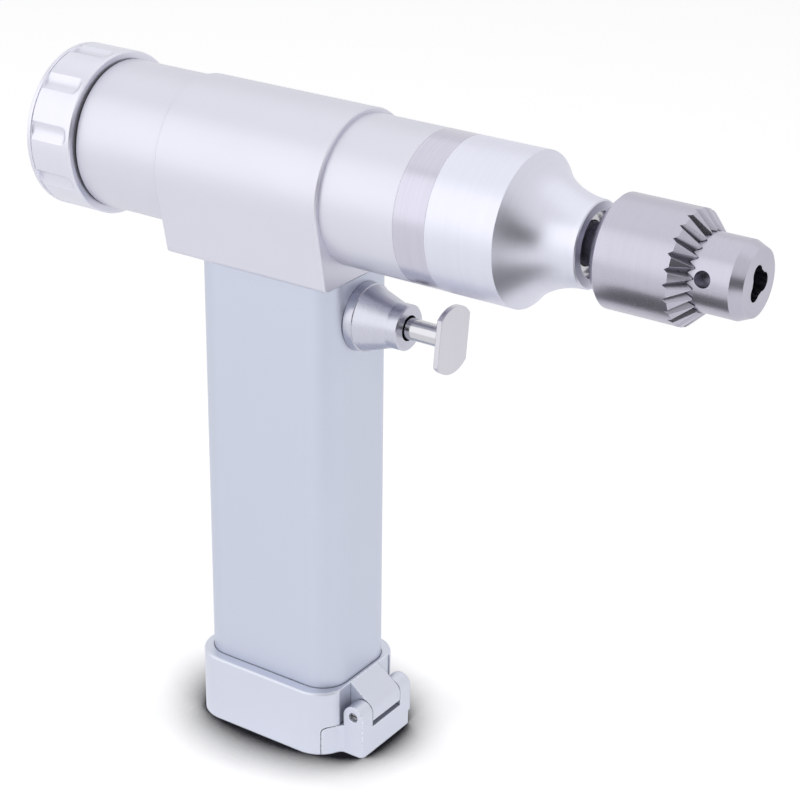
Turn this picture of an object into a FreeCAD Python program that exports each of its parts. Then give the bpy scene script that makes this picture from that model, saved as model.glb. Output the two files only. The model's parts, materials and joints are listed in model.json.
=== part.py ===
import FreeCAD, Part
import math
import os
import Sketcher

# Battery powered surgical drill with a keyed chuck, in millimetres.
# +X points along the barrel to the chuck, +Z up, and the origin is the middle of the base's underside.

SIZES = {
    # Barrel
    "axis_height": 184.5,
    "housing_front": 25.7,
    "housing_back": 33.2,
    "front_barrel_step": 1.5,
    "rear_barrel_step": 0.9,
    "housing_drop": 2.5,
    "housing_taper": 11.0,
    "housing_corner": 2.0,
    "housing_wall": 3.5,
    "spigot_length": 10.0,
    "edge_break": 0.4,
    "rear_barrel_length": 31.3,
    "spigot_wall": 1.3,
    "neck_step": 1.5,
    "neck_wall": 1.2,
    "neck_length": 11.5,
    "board_seat": 8.4,
    "front_barrel_length": 25.2,
    # Rear cap
    "cap_side_wall": 3.53,
    "cap_length": 17.4,
    "cap_gap": 0.8,
    "cap_wall": 3.0,
    "cap_clearance": 0.35,
    "cap_rim": 2.0,
    "cap_line": 0.35,
    "cap_dish": 0.6,
    "cap_border": 5.48,
    "flutes": 10,
    "flute_radius": 6.0,
    "flute_depth": 0.85,
    "flute_length": 14.5,
    "flute_end": 2.5,
    "flute_turn": 7.6,
    "gasket_squeeze": 0.7,
    # Gearbox
    "ring_band": 10.5,
    "ring_spigot": 3.6,
    "ring_step": 1.2,
    "ring_spigot_wall": 0.9,
    "ring_wall": 2.3,
    "gear_module": 0.8,
    "pressure_angle": 25.0,
    "root_ratio": 1.25,
    "backlash": 0.15,
    "sun_teeth": 12,
    "planet_teeth": 18,
    "ring_teeth": 48,
    "planets": 3,
    "gear_set_back": 1.2,
    "gear_front_gap": 1.3,
    "planet_pin_radius": 1.5,
    "pin_fit": 0.05,
    "carrier_edge": 3.0,
    "carrier_thickness": 5.0,
    "carrier_gap": 0.5,
    "mount_plate_thickness": 3.4,
    # Nose
    "nose_cylinder": 21.7,
    "nose_cone": 19.9,
    "nose_tip_wall": 3.07,
    "nose_wall": 4.0,
    "nose_cavity_length": 8.5,
    "nose_shaft_bore": 8.3,
    "front_bearing_radius": 9.5,
    "front_bearing_bore": 5.0,
    "front_bearing_width": 5.0,
    "bearing_recess": 2.4,
    "circlip_thickness": 0.9,
    "circlip_depth": 0.5,
    "circlip_width": 1.3,
    "rear_bearing_radius": 12.0,
    "rear_bearing_bore": 6.0,
    "rear_bearing_width": 6.0,
    "bearing_race": 1.2,
    "shield_gap": 0.3,
    "shield_thickness": 0.4,
    "spindle_shoulder": 7.5,
    # Chuck
    "chuck_gap": 5.4,
    "chuck_turn": 20.6,
    "sleeve_rise": 5.16,
    "sleeve_wall": 3.14,
    "sleeve_length": 23.9,
    "sleeve_chamfer": 2.0,
    "bevel_length": 4.9,
    "bevel_land": 0.3,
    "sleeve_nose_gap": 0.17,
    "sleeve_fit": 0.06,
    "chuck_teeth": 24,
    "tooth_back": 1.3,
    "tooth_slope": 49.0,
    "tooth_half_angle": 42.0,
    "tooth_depth": 2.0,
    "chuck_length": 42.4,
    "chuck_hub_radius": 6.2,
    "chuck_nose_radius": 10.98,
    "chuck_nose_chamfer": 3.4,
    "chuck_face_step": 1.48,
    "chuck_bore": 3.65,
    "chuck_thread_radius": 4.7,
    "chuck_thread_length": 13.0,
    "key_hole_radius": 2.35,
    "key_hole_back": 11.0,
    "key_hole_depth": 5.5,
    "jaws": 3,
    "jaw_angle": 12.0,
    "jaw_radius": 2.6,
    "jaw_fit": 0.05,
    "jaw_offset_at_face": 2.7,
    "jaw_back_gap": 0.45,
    "jaw_shoulder": 4.0,
    "jaw_setback": 15.6,
    "jaw_opening": 3.75,
    "jaw_back_cut": 0.7,
    "nut_back": 16.6,
    "nut_width": 6.0,
    "nut_groove_depth": 2.08,
    "nut_cone_gap": 0.25,
    "nut_split": 0.12,
    # Motor
    "motor_gap": 0.7,
    "motor_wall": 1.3,
    "motor_set_in": 13.6,
    "motor_front_wall": 3.0,
    "motor_boss_radius": 5.4,
    "motor_boss_length": 2.4,
    "end_bell_length": 5.0,
    "shaft_radius": 2.5,
    "shaft_fit": 0.05,
    "shaft_end": 0.4,
    "bush_radius": 5.0,
    "bush_length": 6.0,
    "magnet_thickness": 4.6,
    "magnet_overhang": 2.0,
    "magnet_span": 150.0,
    "air_gap": 0.6,
    "rotor_gap": 2.0,
    "core_slots": 10,
    "slot_width": 2.0,
    "slot_depth": 4.5,
    "winding_length": 5.0,
    "winding_step": 1.2,
    "commutator_radius": 5.5,
    "commutator_length": 8.0,
    "commutator_gap": 3.2,
    "brush_width": 4.0,
    "brush_length": 7.0,
    "brush_gap": 0.1,
    "holder_edge": 0.8,
    "board_thickness": 1.6,
    "capacitor_radius": 4.0,
    "capacitor_length": 8.0,
    # Handle
    "handle_half_length": 25.4,
    "handle_half_width": 17.28,
    "handle_corner": 9.0,
    "handle_wall": 1.6,
    "handle_foot_ledge": 0.4,
    "socket_gap": 1.3,
    "socket_wall": 2.0,
    "passage_half_length": 9.0,
    "passage_half_width": 8.0,
    "liner_wall": 1.9,
    "liner_side_wall": 1.28,
    "liner_gap": 2.6,
    # Trigger
    "trigger_drop": 12.8,
    "trigger_flange_radius": 10.46,
    "trigger_flange": 3.0,
    "trigger_housing_length": 16.7,
    "trigger_nose_radius": 7.0,
    "trigger_nose_length": 4.2,
    "trigger_spigot_radius": 7.0,
    "trigger_spigot_length": 6.4,
    "trigger_mouth_radius": 3.9,
    "trigger_mouth_depth": 2.6,
    "trigger_cavity_radius": 5.5,
    "guide_radius": 5.0,
    "guide_length": 8.0,
    "seal_length": 2.2,
    "plunger_radius": 3.3,
    "plunger_fit": 0.05,
    "plunger_out": 13.8,
    "plunger_stem_radius": 1.9,
    "plunger_tail": 2.2,
    "stem_length": 15.8,
    "clip_radius": 4.7,
    "clip_groove_radius": 2.7,
    "clip_thickness": 0.8,
    "plate_radius": 10.4,
    "plate_half_width": 7.6,
    "plate_thickness": 1.8,
    "plate_turn": 7.0,
    "trigger_travel": 8.0,
    "spring_radius": 2.6,
    "spring_wire": 0.27,
    "spring_wire_sides": 8,
    "spring_turns": 6,
    "switch_set_back": 13.4,
    "switch_length": 30.0,
    "switch_below": 12.0,
    "switch_above": 5.4,
    "switch_bore": 2.2,
    "switch_bore_room": 1.5,
    # Battery
    "battery_wall": 1.2,
    "battery_clearance": 0.4,
    "battery_rest_gap": 0.3,
    "battery_corner": 5.5,
    "cell_gap": 0.8,
    "cell_end_gap": 1.6,
    "cell_head_room": 7.0,
    "terminal_radius": 2.5,
    "terminal_height": 0.8,
    "terminal_spacing": 12.0,
    "contact_block_height": 6.0,
    "contact_gap": 4.0,
    "contact_pin_radius": 1.5,
    "contact_pin_length": 3.0,
    # Base
    "collar_end_wall": 2.2,
    "collar_side_wall": 3.72,
    "collar_corner": 11.0,
    "collar_height": 22.6,
    "collar_edge": 0.9,
    "collar_seat_gap": 0.12,
    "lid_end_ledge": 1.9,
    "lid_side_ledge": 1.4,
    "lid_gasket_gap": 0.2,
    "lid_clearance": 0.4,
    "lid_plate": 4.0,
    "lid_seam_wall": 1.1,
    "lid_seam_gap": 0.2,
    "lid_seam_corner": 2.0,
    "lid_gasket_width": 1.3,
    "lid_gasket_height": 1.0,
    "lid_pad_half_length": 15.0,
    "lid_pad_half_width": 10.0,
    "lid_pad_height": 2.5,
    "block_half_width": 13.3,
    "block_front_corner": 1.5,
    "block_side_blend": 2.5,
    "ear_radius": 3.7,
    "ear_recess_depth": 1.0,
    "ear_recess_side_gap": 0.4,
    "hinge_pin_radius": 1.5,
    "hinge_pin_fit": 0.06,
    "hinge_reach": 4.1,
    "hinge_height": 14.1,
    "hinge_rise": 4.2,
    "hinge_slot_drop": 4.8,
    "knuckle_under": 2.7,
    "knuckle_half_width": 7.5,
    "knuckle_side_gap": 0.25,
    "knuckle_slope": 36.0,
    "pin_recess": 0.8,
    "pin_recess_radius": 1.65,
    "catch_radius": 1.2,
    "catch_length": 8.0,
    "catch_height": 2.1,
    "catch_fit": 0.05,
    "catch_spring_length": 5.0,
    "catch_spring_wall": 0.35,
}

ZERO = 0.0
FULL_TURN = 360.0
HALF_TURN = 180.0
RIGHT_ANGLE = 90.0
OVERSHOOT = 1.0


# Sizes that carry both their number and their expression

class Size:
    """A number together with the expression that stands for it in the document."""

    def __init__(self, value, text):
        self.value = float(value)
        self.text = text

    def __add__(self, other):
        other = as_size(other)
        return Size(self.value + other.value, "(" + self.text + " + " + other.text + ")")

    def __sub__(self, other):
        other = as_size(other)
        return Size(self.value - other.value, "(" + self.text + " - " + other.text + ")")

    def __mul__(self, other):
        other = as_size(other)
        return Size(self.value * other.value, "(" + self.text + " * " + other.text + ")")

    def __truediv__(self, other):
        other = as_size(other)
        return Size(self.value / other.value, "(" + self.text + " / " + other.text + ")")

    def __neg__(self):
        return Size(-self.value, "(0 - " + self.text + ")")


def as_size(number):
    if isinstance(number, Size):
        return number
    return Size(number, "(" + repr(float(number)) + ")")


def root(size):
    return Size(math.sqrt(size.value), "sqrt(" + size.text + ")")


def sine(size):
    return Size(math.sin(math.radians(size.value)), "sin(" + size.text + ")")


def cosine(size):
    return Size(math.cos(math.radians(size.value)), "cos(" + size.text + ")")


def tangent(size):
    return sine(size) / cosine(size)


class Sheet:
    """The spreadsheet's aliases as attributes."""


doc = FreeCAD.newDocument("surgical_drill")
sheet = doc.addObject("Spreadsheet::Sheet", "Sizes")
S = Sheet()
rows = []
pieces = []


def name_size(alias, entry, value):
    """One row of the sheet, reached as S.alias from here on."""
    rows.append(alias)
    cell = "A" + str(len(rows))
    sheet.set(cell, entry)
    sheet.setAlias(cell, alias)
    setattr(S, alias, Size(value, "Sizes." + alias))


def follow(alias, size):
    """A row that holds a formula of the rows before it."""
    name_size(alias, "=" + size.text.replace("Sizes.", ""), size.value)


for alias, number in SIZES.items():
    name_size(alias, str(number), number)


# Sizes that follow from the named ones

# The barrel grows outwards from the gear set
follow("gear_width", S.ring_band - S.gear_set_back - S.gear_front_gap)
follow("planet_orbit", S.gear_module * (S.sun_teeth + S.planet_teeth) / 2)
follow("carrier_radius", S.planet_orbit + S.planet_pin_radius + S.carrier_edge)
follow("ring_root_radius", S.gear_module * (S.ring_teeth / 2 + S.root_ratio))
follow("front_barrel_radius", S.ring_root_radius + S.ring_wall)
follow("ring_spigot_radius", S.front_barrel_radius - S.ring_step)
follow("ring_spigot_bore", S.ring_spigot_radius - S.ring_spigot_wall)
follow("nose_cavity", S.front_barrel_radius - S.nose_wall)
follow("nose_tip_radius", S.front_bearing_radius + S.nose_tip_wall)
follow("housing_radius", S.front_barrel_radius + S.front_barrel_step)
follow("housing_depth", S.housing_radius + S.housing_drop)
follow("housing_bore", S.housing_radius - S.housing_wall)
follow("barrel_bore", S.housing_bore - S.spigot_wall)
follow("motor_radius", S.barrel_bore - S.motor_gap)
follow("rear_barrel_radius", S.housing_radius - S.rear_barrel_step)
follow("neck_radius", S.rear_barrel_radius - S.neck_step)
follow("neck_bore", S.neck_radius - S.neck_wall)
follow("cap_bore", S.neck_radius + S.cap_clearance)
follow("cap_radius", S.cap_bore + S.cap_side_wall)
follow("cap_dish_radius", S.cap_radius - S.cap_border)

# The chuck's sleeve grows outwards from the chuck's nose
follow("chuck_face_radius", S.chuck_nose_radius - S.chuck_face_step)
follow("nut_groove_radius", S.chuck_nose_radius - S.nut_groove_depth)
follow("sleeve_nose_bore", S.chuck_nose_radius + S.sleeve_nose_gap)
follow("bevel_inner_radius", S.sleeve_nose_bore + S.bevel_land)
follow("sleeve_radius", S.chuck_nose_radius + S.sleeve_rise)
follow("sleeve_bore", S.sleeve_radius - S.sleeve_wall)

# A jaw's back end just clears the sleeve's bore, measured along its line from where the lines meet
jaw_back_height = (S.jaw_radius - S.jaw_back_cut) * cosine(S.jaw_angle)
follow("jaw_reach", (S.sleeve_bore - S.jaw_back_gap - jaw_back_height) / sine(S.jaw_angle))

# Heights of the grip, from the barrel down and from the lid up
follow("trigger_height", S.axis_height - S.housing_depth - S.trigger_drop)
follow("socket_depth", S.trigger_drop - S.trigger_spigot_radius - S.socket_gap)
follow("lid_flange_height", S.hinge_height - S.hinge_rise)
follow("hinge_slot_floor", S.hinge_height - S.hinge_slot_drop)
follow("hinge_slot_top", S.hinge_height - S.knuckle_under)
follow("handle_foot", S.lid_flange_height + S.lid_seam_gap + S.handle_foot_ledge)
follow("lid_pocket_depth", S.lid_plate + S.lid_gasket_height + S.lid_gasket_gap)
follow("battery_foot", S.lid_plate + S.lid_pad_height + S.battery_rest_gap)
follow("contact_block_foot", S.trigger_height - S.switch_below - S.handle_wall - S.contact_gap
       - S.contact_block_height)
follow("battery_top", S.contact_block_foot - S.contact_pin_length - S.terminal_height)
follow("battery_height", S.battery_top - S.battery_foot)
follow("cell_height", (S.battery_height - S.battery_wall * 2 - S.cell_gap * 2 - S.cell_head_room) / 2)
follow("liner_height", S.contact_block_foot - S.liner_gap - S.handle_foot)

# Lengths and widths of the grip and the base
follow("throat_half_length", S.handle_half_length - S.handle_wall - S.liner_wall)
follow("throat_half_width", S.handle_half_width - S.handle_wall - S.liner_side_wall)
follow("battery_half_length", S.throat_half_length - S.battery_clearance)
follow("battery_half_width", S.throat_half_width - S.battery_clearance)
follow("cell_radius", (S.battery_half_length - S.battery_wall - S.cell_end_gap - S.cell_gap / 2) / 2)
follow("switch_front", S.handle_half_length - S.switch_set_back)
follow("collar_half_length", S.handle_half_length + S.collar_end_wall)
follow("collar_half_width", S.handle_half_width + S.collar_side_wall)
follow("lid_pocket_half_length", S.throat_half_length + S.lid_end_ledge)
follow("lid_pocket_half_width", S.throat_half_width + S.lid_side_ledge)
follow("lid_seam", S.throat_half_length + S.lid_seam_wall)
follow("ear_recess_floor", S.collar_half_length - S.ear_recess_depth)
follow("hinge_x", S.collar_half_length + S.hinge_reach)
doc.recompute()


# Sketching and solid features

def vector(x=0.0, y=0.0, z=0.0):
    return FreeCAD.Vector(x, y, z)


def new_body(label, x=ZERO, y=ZERO, z=ZERO, turn=None):
    """An empty body at a place bound to the sheet, turned about X where asked."""
    body = doc.addObject("PartDesign::Body", label)
    body.Label = label
    body.AllowCompound = True
    if turn is not None:
        body.Placement = FreeCAD.Placement(vector(), FreeCAD.Rotation(vector(1, 0, 0), turn.value))
        body.setExpression("Placement.Rotation.Angle", turn.text)
    for name, size in (("x", x), ("y", y), ("z", z)):
        if isinstance(size, Size):
            body.setExpression("Placement.Base." + name, size.text)
    pieces.append(body)
    return body


def origin_feature(body, role):
    for feature in body.Origin.OriginFeatures:
        if feature.Role == role:
            return feature
    raise ValueError(role)


def new_sketch(body, role, offset=None, tilt=None):
    """A sketch on one of the body's own planes, moved along and tilted about it where asked."""
    sketch = body.newObject("Sketcher::SketchObject", body.Label + "_sketch")
    sketch.AttachmentSupport = (origin_feature(body, role), [""])
    sketch.MapMode = "FlatFace"
    if tilt is not None:
        sketch.AttachmentOffset = FreeCAD.Placement(vector(), tilt)
    if offset is not None:
        sketch.setExpression("AttachmentOffset.Base.z", as_size(offset).text)
    return sketch


def bind(sketch, kind, geometry, position, size):
    if kind == "Radius":
        number = sketch.addConstraint(Sketcher.Constraint(kind, geometry, size.value))
    else:
        number = sketch.addConstraint(Sketcher.Constraint(kind, -1, 1, geometry, position, size.value))
    sketch.setExpression("Constraints[" + str(number) + "]", size.text)


def arc_between(start, end, radius):
    """The shorter arc from start to end: anticlockwise for a positive radius, clockwise otherwise."""
    middle = (start + end) * 0.5
    along = end - start
    left = vector(-along.y, along.x).normalize()
    rise = math.sqrt(max(radius * radius - 0.25 * along.Length ** 2, 0.0))
    side = 1.0 if radius > 0 else -1.0
    centre = middle + left * (rise * side)
    first, last = (start, end) if radius > 0 else (end, start)
    first_angle = math.atan2(first.y - centre.y, first.x - centre.x)
    last_angle = math.atan2(last.y - centre.y, last.x - centre.x)
    if last_angle < first_angle:
        last_angle += 2 * math.pi
    circle = Part.Circle(centre, vector(0, 0, 1), abs(radius))
    return Part.ArcOfCircle(circle, first_angle, last_angle)


def draw(sketch, points):
    """A closed outline. Each point is (across, up), or (across, up, radius) where an arc leads to it."""
    corners = []
    for point in points:
        corners.append(tuple(as_size(value) for value in point))
    places = [vector(corner[0].value, corner[1].value) for corner in corners]
    segments = []
    for number, corner in enumerate(corners):
        start = places[number - 1]
        end = places[number]
        if len(corner) == 2:
            geometry = sketch.addGeometry(Part.LineSegment(start, end), False)
            segments.append((geometry, 1, 2))
        else:
            radius = corner[2].value
            geometry = sketch.addGeometry(arc_between(start, end, radius), False)
            segments.append((geometry, 1, 2) if radius > 0 else (geometry, 2, 1))
    for number, (geometry, first, last) in enumerate(segments):
        following = segments[(number + 1) % len(segments)]
        sketch.addConstraint(Sketcher.Constraint("Coincident", geometry, last, following[0], following[1]))
    for number, (geometry, first, last) in enumerate(segments):
        bind(sketch, "DistanceX", geometry, last, corners[number][0])
        bind(sketch, "DistanceY", geometry, last, corners[number][1])
        if len(corners[number]) == 3:
            radius = corners[number][2]
            bind(sketch, "Radius", geometry, 0, radius if radius.value > 0 else -radius)


def draw_circle(sketch, across, up, radius):
    across = as_size(across)
    up = as_size(up)
    circle = Part.Circle(vector(across.value, up.value), vector(0, 0, 1), radius.value)
    geometry = sketch.addGeometry(circle, False)
    bind(sketch, "DistanceX", geometry, 3, across)
    bind(sketch, "DistanceY", geometry, 3, up)
    bind(sketch, "Radius", geometry, 0, radius)


def draw_rounded(sketch, half_length, half_width, corner):
    """A rectangle about the sketch's origin with four round corners."""
    flat_length = half_length - corner
    flat_width = half_width - corner
    draw(sketch, [
        (half_length, -flat_width, corner),
        (half_length, flat_width),
        (flat_length, half_width, corner),
        (-flat_length, half_width),
        (-half_length, flat_width, corner),
        (-half_length, -flat_width),
        (-flat_length, -half_width, corner),
        (flat_length, -half_width),
    ])


def rectangle(left, right, bottom, top):
    return [(left, bottom), (right, bottom), (right, top), (left, top)]


def pad(body, sketch, length, reverse=False, middle=False):
    feature = body.newObject("PartDesign::Pad", body.Label + "_pad")
    feature.Profile = sketch
    feature.setExpression("Length", as_size(length).text)
    feature.Reversed = reverse
    feature.Midplane = middle
    body.Tip = feature
    doc.recompute()
    return feature


def pocket(body, sketch, length=None, reverse=False):
    """Cut the sketch away: right through both ways, or for a length on one side."""
    feature = body.newObject("PartDesign::Pocket", body.Label + "_pocket")
    feature.Profile = sketch
    if length is None:
        feature.Type = "ThroughAll"
        feature.Midplane = True
    else:
        feature.setExpression("Length", as_size(length).text)
        feature.Reversed = reverse
    before = body.Shape.Volume
    body.Tip = feature
    doc.recompute()
    if body.Shape.Volume >= before:
        raise ValueError("a pocket in " + body.Label + " cuts nothing")
    return feature


def spin(body, sketch, cut=False, axis="H_Axis"):
    kind = "PartDesign::Groove" if cut else "PartDesign::Revolution"
    feature = body.newObject(kind, body.Label + "_turned")
    feature.Profile = sketch
    feature.ReferenceAxis = (sketch, [axis])
    feature.Angle = FULL_TURN
    before = body.Shape.Volume if cut else 0.0
    body.Tip = feature
    doc.recompute()
    if cut and body.Shape.Volume >= before:
        raise ValueError("a groove in " + body.Label + " cuts nothing")
    return feature


def around(body, feature, count, role="X_Axis"):
    """Repeat a feature evenly around one of the body's own axes."""
    pattern = body.newObject("PartDesign::PolarPattern", body.Label + "_pattern")
    pattern.Originals = [feature]
    pattern.Axis = (origin_feature(body, role), [""])
    pattern.Angle = FULL_TURN
    pattern.setExpression("Occurrences", count.text)
    body.Tip = pattern
    doc.recompute()
    return pattern


def mirrored(body, feature, role):
    mirror = body.newObject("PartDesign::Mirrored", body.Label + "_mirror")
    mirror.Originals = [feature]
    mirror.MirrorPlane = (origin_feature(body, role), [""])
    body.Tip = mirror
    doc.recompute()
    return mirror


def dress(body, kind, size, chosen):
    """A Fillet or a Chamfer on the edges of the body that the test picks."""
    base = body.Tip
    names = []
    for number, edge in enumerate(base.Shape.Edges, start=1):
        if chosen(edge):
            names.append("Edge" + str(number))
    if not names:
        raise ValueError("no edge found on " + body.Label)
    feature = body.newObject("PartDesign::" + kind, body.Label + "_" + kind.lower())
    feature.Base = (base, names)
    feature.setExpression("Radius" if kind == "Fillet" else "Size", size.text)
    body.Tip = feature
    doc.recompute()
    return feature


def near(first, second, reach=0.01):
    return abs(first - second) < reach


def is_straight(edge):
    return edge.Curve.TypeId == "Part::GeomLine"


def turned(label, points, role="XZ_Plane", axis="H_Axis", **place):
    """A body turned about its own X axis, or the one that the plane and axis give."""
    body = new_body(label, **place)
    sketch = new_sketch(body, role)
    draw(sketch, points)
    spin(body, sketch, axis=axis)
    return body


def barrel_part(label, points, turn=None):
    return turned(label, points, z=S.axis_height, turn=turn)


def barrel_ring(label, back, front, inner, outer):
    return barrel_part(label, rectangle(back, front, inner, outer))


# Places along the barrel

x_housing_back = -S.housing_back
x_housing_front = S.housing_front
x_ring_back = x_housing_front + S.front_barrel_length
x_ring_front = x_ring_back + S.ring_band
x_cone = x_ring_front + S.nose_cylinder
x_tip = x_cone + S.nose_cone
x_shoulder = x_housing_back - S.rear_barrel_length
x_neck_end = x_shoulder - S.neck_length
x_cap_front = x_shoulder - S.cap_gap
x_cap_rear = x_cap_front - S.cap_length
x_gears = x_ring_back + S.gear_set_back
x_gears_end = x_gears + S.gear_width
x_mount_plate = x_ring_back - S.ring_spigot - S.mount_plate_thickness
x_front_bearing = x_tip - S.bearing_recess
x_rear_bearing = x_ring_front + S.nose_cavity_length


# Barrel shells

def make_main_housing():
    body = new_body("main_housing", z=S.axis_height)
    radius = S.housing_radius
    side = radius * cosine(S.housing_taper)
    drop = radius * sine(S.housing_taper)
    foot = side - (S.housing_depth - drop) * tangent(S.housing_taper)
    sketch = new_sketch(body, "YZ_Plane", offset=x_housing_back)
    draw(sketch, [
        (foot, -S.housing_depth),
        (side, -drop),
        (0, radius, radius),
        (-side, -drop, radius),
        (-foot, -S.housing_depth),
    ])
    pad(body, sketch, S.housing_front + S.housing_back)
    low = -S.housing_depth.value
    dress(body, "Fillet", S.housing_corner,
          lambda edge: is_straight(edge) and near(edge.BoundBox.ZMax, low) and edge.BoundBox.XLength > 1)
    ends = (x_housing_back.value, x_housing_front.value)
    dress(body, "Chamfer", S.edge_break,
          lambda edge: near(edge.BoundBox.XLength, 0) and near(edge.BoundBox.XMax, ends[0])
          or near(edge.BoundBox.XLength, 0) and near(edge.BoundBox.XMax, ends[1]))
    bore = new_sketch(body, "YZ_Plane")
    draw_circle(bore, 0, 0, S.housing_bore)
    pocket(body, bore)
    spigot = new_sketch(body, "XY_Plane", offset=-S.housing_depth)
    outer_length = S.handle_half_length - S.handle_wall
    outer_width = S.handle_half_width - S.handle_wall
    corner = S.handle_corner - S.handle_wall
    draw_rounded(spigot, outer_length, outer_width, corner)
    draw_rounded(spigot, outer_length - S.socket_wall, outer_width - S.socket_wall, corner - S.socket_wall)
    pad(body, spigot, S.socket_depth, reverse=True)
    passage = new_sketch(body, "XY_Plane", offset=-S.housing_depth)
    draw(passage, rectangle(-S.passage_half_length, S.passage_half_length,
                            -S.passage_half_width, S.passage_half_width))
    pocket(body, passage, S.housing_depth, reverse=True)


def make_barrels():
    barrel_part("rear_barrel", [
        (x_neck_end, S.neck_bore),
        (x_neck_end, S.neck_radius),
        (x_shoulder, S.neck_radius),
        (x_shoulder, S.rear_barrel_radius),
        (x_housing_back, S.rear_barrel_radius),
        (x_housing_back, S.housing_bore),
        (x_housing_back + S.spigot_length, S.housing_bore),
        (x_housing_back + S.spigot_length, S.barrel_bore),
        (x_housing_back - S.board_seat, S.barrel_bore),
        (x_housing_back - S.board_seat, S.neck_bore),
    ])
    barrel_part("front_barrel", [
        (x_housing_front - S.spigot_length, S.barrel_bore),
        (x_housing_front - S.spigot_length, S.housing_bore),
        (x_housing_front, S.housing_bore),
        (x_housing_front, S.front_barrel_radius),
        (x_ring_back, S.front_barrel_radius),
        (x_ring_back, S.ring_spigot_radius),
        (x_mount_plate, S.ring_spigot_radius),
        (x_mount_plate, S.barrel_bore),
    ])


def make_rear_cap():
    line_front = x_cap_rear + S.cap_rim
    body = barrel_part("rear_cap", [
        (x_cap_rear + S.cap_dish, 0),
        (x_cap_rear + S.cap_dish, S.cap_dish_radius - S.cap_dish),
        (x_cap_rear, S.cap_dish_radius),
        (x_cap_rear, S.cap_radius - S.edge_break),
        (x_cap_rear + S.edge_break, S.cap_radius),
        (line_front - S.cap_line, S.cap_radius),
        (line_front - S.cap_line, S.cap_radius - S.cap_line),
        (line_front, S.cap_radius - S.cap_line),
        (line_front, S.cap_radius),
        (x_cap_front - S.edge_break, S.cap_radius),
        (x_cap_front, S.cap_radius - S.edge_break),
        (x_cap_front, S.cap_bore),
        (x_cap_rear + S.cap_wall, S.cap_bore),
        (x_cap_rear + S.cap_wall, 0),
    ])
    flute = new_sketch(body, "XZ_Plane", offset=ZERO)
    middle = S.cap_radius + S.flute_radius - S.flute_depth
    flute.AttachmentOffset = FreeCAD.Placement(vector(0, middle.value, 0), FreeCAD.Rotation())
    flute.setExpression("AttachmentOffset.Base.y", middle.text)
    end = line_front + S.flute_length
    draw(flute, [
        (line_front, 0),
        (line_front, -S.flute_radius),
        (end - S.flute_end, -S.flute_radius),
        (end, S.flute_end - S.flute_radius, S.flute_end),
        (end, 0),
    ])
    cut = spin(body, flute, cut=True)
    around(body, cut, S.flutes)
    turn = FreeCAD.Rotation(vector(1, 0, 0), S.flute_turn.value)
    body.Placement = FreeCAD.Placement(body.Placement.Base, turn)
    body.setExpression("Placement.Rotation.Angle", S.flute_turn.text)


def make_cap_gasket():
    outer = S.rear_barrel_radius - S.edge_break
    inner = S.neck_radius + S.collar_seat_gap
    barrel_ring("cap_gasket", x_shoulder - S.gasket_squeeze, x_shoulder, inner, outer)


# Planetary gears

def involute(angle):
    return math.tan(angle) - angle


def gear_wire(teeth, gap, tip, root_radius):
    """The outline of a toothed wheel in the YZ plane, with the middle of one tooth at the top."""
    module = S.gear_module.value
    pressure = math.radians(S.pressure_angle.value)
    pitch = module * teeth / 2
    base = pitch * math.cos(pressure)
    half_at_pitch = (math.pi * module / 2 - gap) / (2 * pitch)

    def half_angle(radius):
        if radius <= base:
            return half_at_pitch + involute(pressure)
        return half_at_pitch + involute(pressure) - involute(math.acos(base / radius))

    def place(radius, angle):
        return vector(0, -radius * math.sin(angle), radius * math.cos(angle))

    edges = []
    step = 2 * math.pi / teeth
    for tooth in range(teeth):
        middle = tooth * step
        low, mid, high = half_angle(root_radius), half_angle(pitch), half_angle(tip)
        rising = [place(root_radius, middle - low), place(pitch, middle - mid), place(tip, middle - high)]
        falling = [place(tip, middle + high), place(pitch, middle + mid), place(root_radius, middle + low)]
        edges.append(Part.Arc(*rising).toShape())
        edges.append(Part.LineSegment(rising[-1], falling[0]).toShape())
        edges.append(Part.Arc(*falling).toShape())
        following = place(root_radius, middle + step - low)
        edges.append(Part.LineSegment(falling[-1], following).toShape())
    return Part.Wire(edges)


def disc(radius, back, length):
    return Part.makeCylinder(radius, length, vector(back, 0, 0), vector(1, 0, 0))


def new_solid(label, shape, x=0.0, y=0.0, z=0.0, turn=0.0):
    piece = doc.addObject("Part::Feature", label)
    piece.Label = label
    piece.Shape = shape
    piece.Placement = FreeCAD.Placement(vector(x, y, z), FreeCAD.Rotation(vector(1, 0, 0), turn))
    pieces.append(piece)
    return piece


def toothed_disc(teeth, back, width):
    pitch = S.gear_module.value * teeth / 2
    module = S.gear_module.value
    wire = gear_wire(teeth, S.backlash.value, pitch + module, pitch - S.root_ratio.value * module)
    wire.translate(vector(back, 0, 0))
    return Part.Face(wire).extrude(vector(width, 0, 0))


def make_gears():
    height = S.axis_height.value
    back = x_gears.value
    width = S.gear_width.value
    cut_back = back - OVERSHOOT
    cut_width = width + 2 * OVERSHOOT
    sun = toothed_disc(int(S.sun_teeth.value), back, width)
    sun = sun.cut(disc(S.shaft_radius.value, cut_back, cut_width))
    half_tooth = HALF_TURN / S.sun_teeth.value
    new_solid("sun_gear", sun, z=height, turn=half_tooth)
    orbit = S.planet_orbit.value
    planet = toothed_disc(int(S.planet_teeth.value), back, width)
    planet = planet.cut(disc(S.planet_pin_radius.value + S.pin_fit.value, cut_back, cut_width))
    count = int(S.planets.value)
    for number in range(count):
        angle = FULL_TURN * number / count
        across = -orbit * math.sin(math.radians(angle))
        up = orbit * math.cos(math.radians(angle))
        new_solid("planet_gear_" + str(number + 1), planet, y=across, z=height + up, turn=angle)
    make_ring_gear(height)


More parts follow.
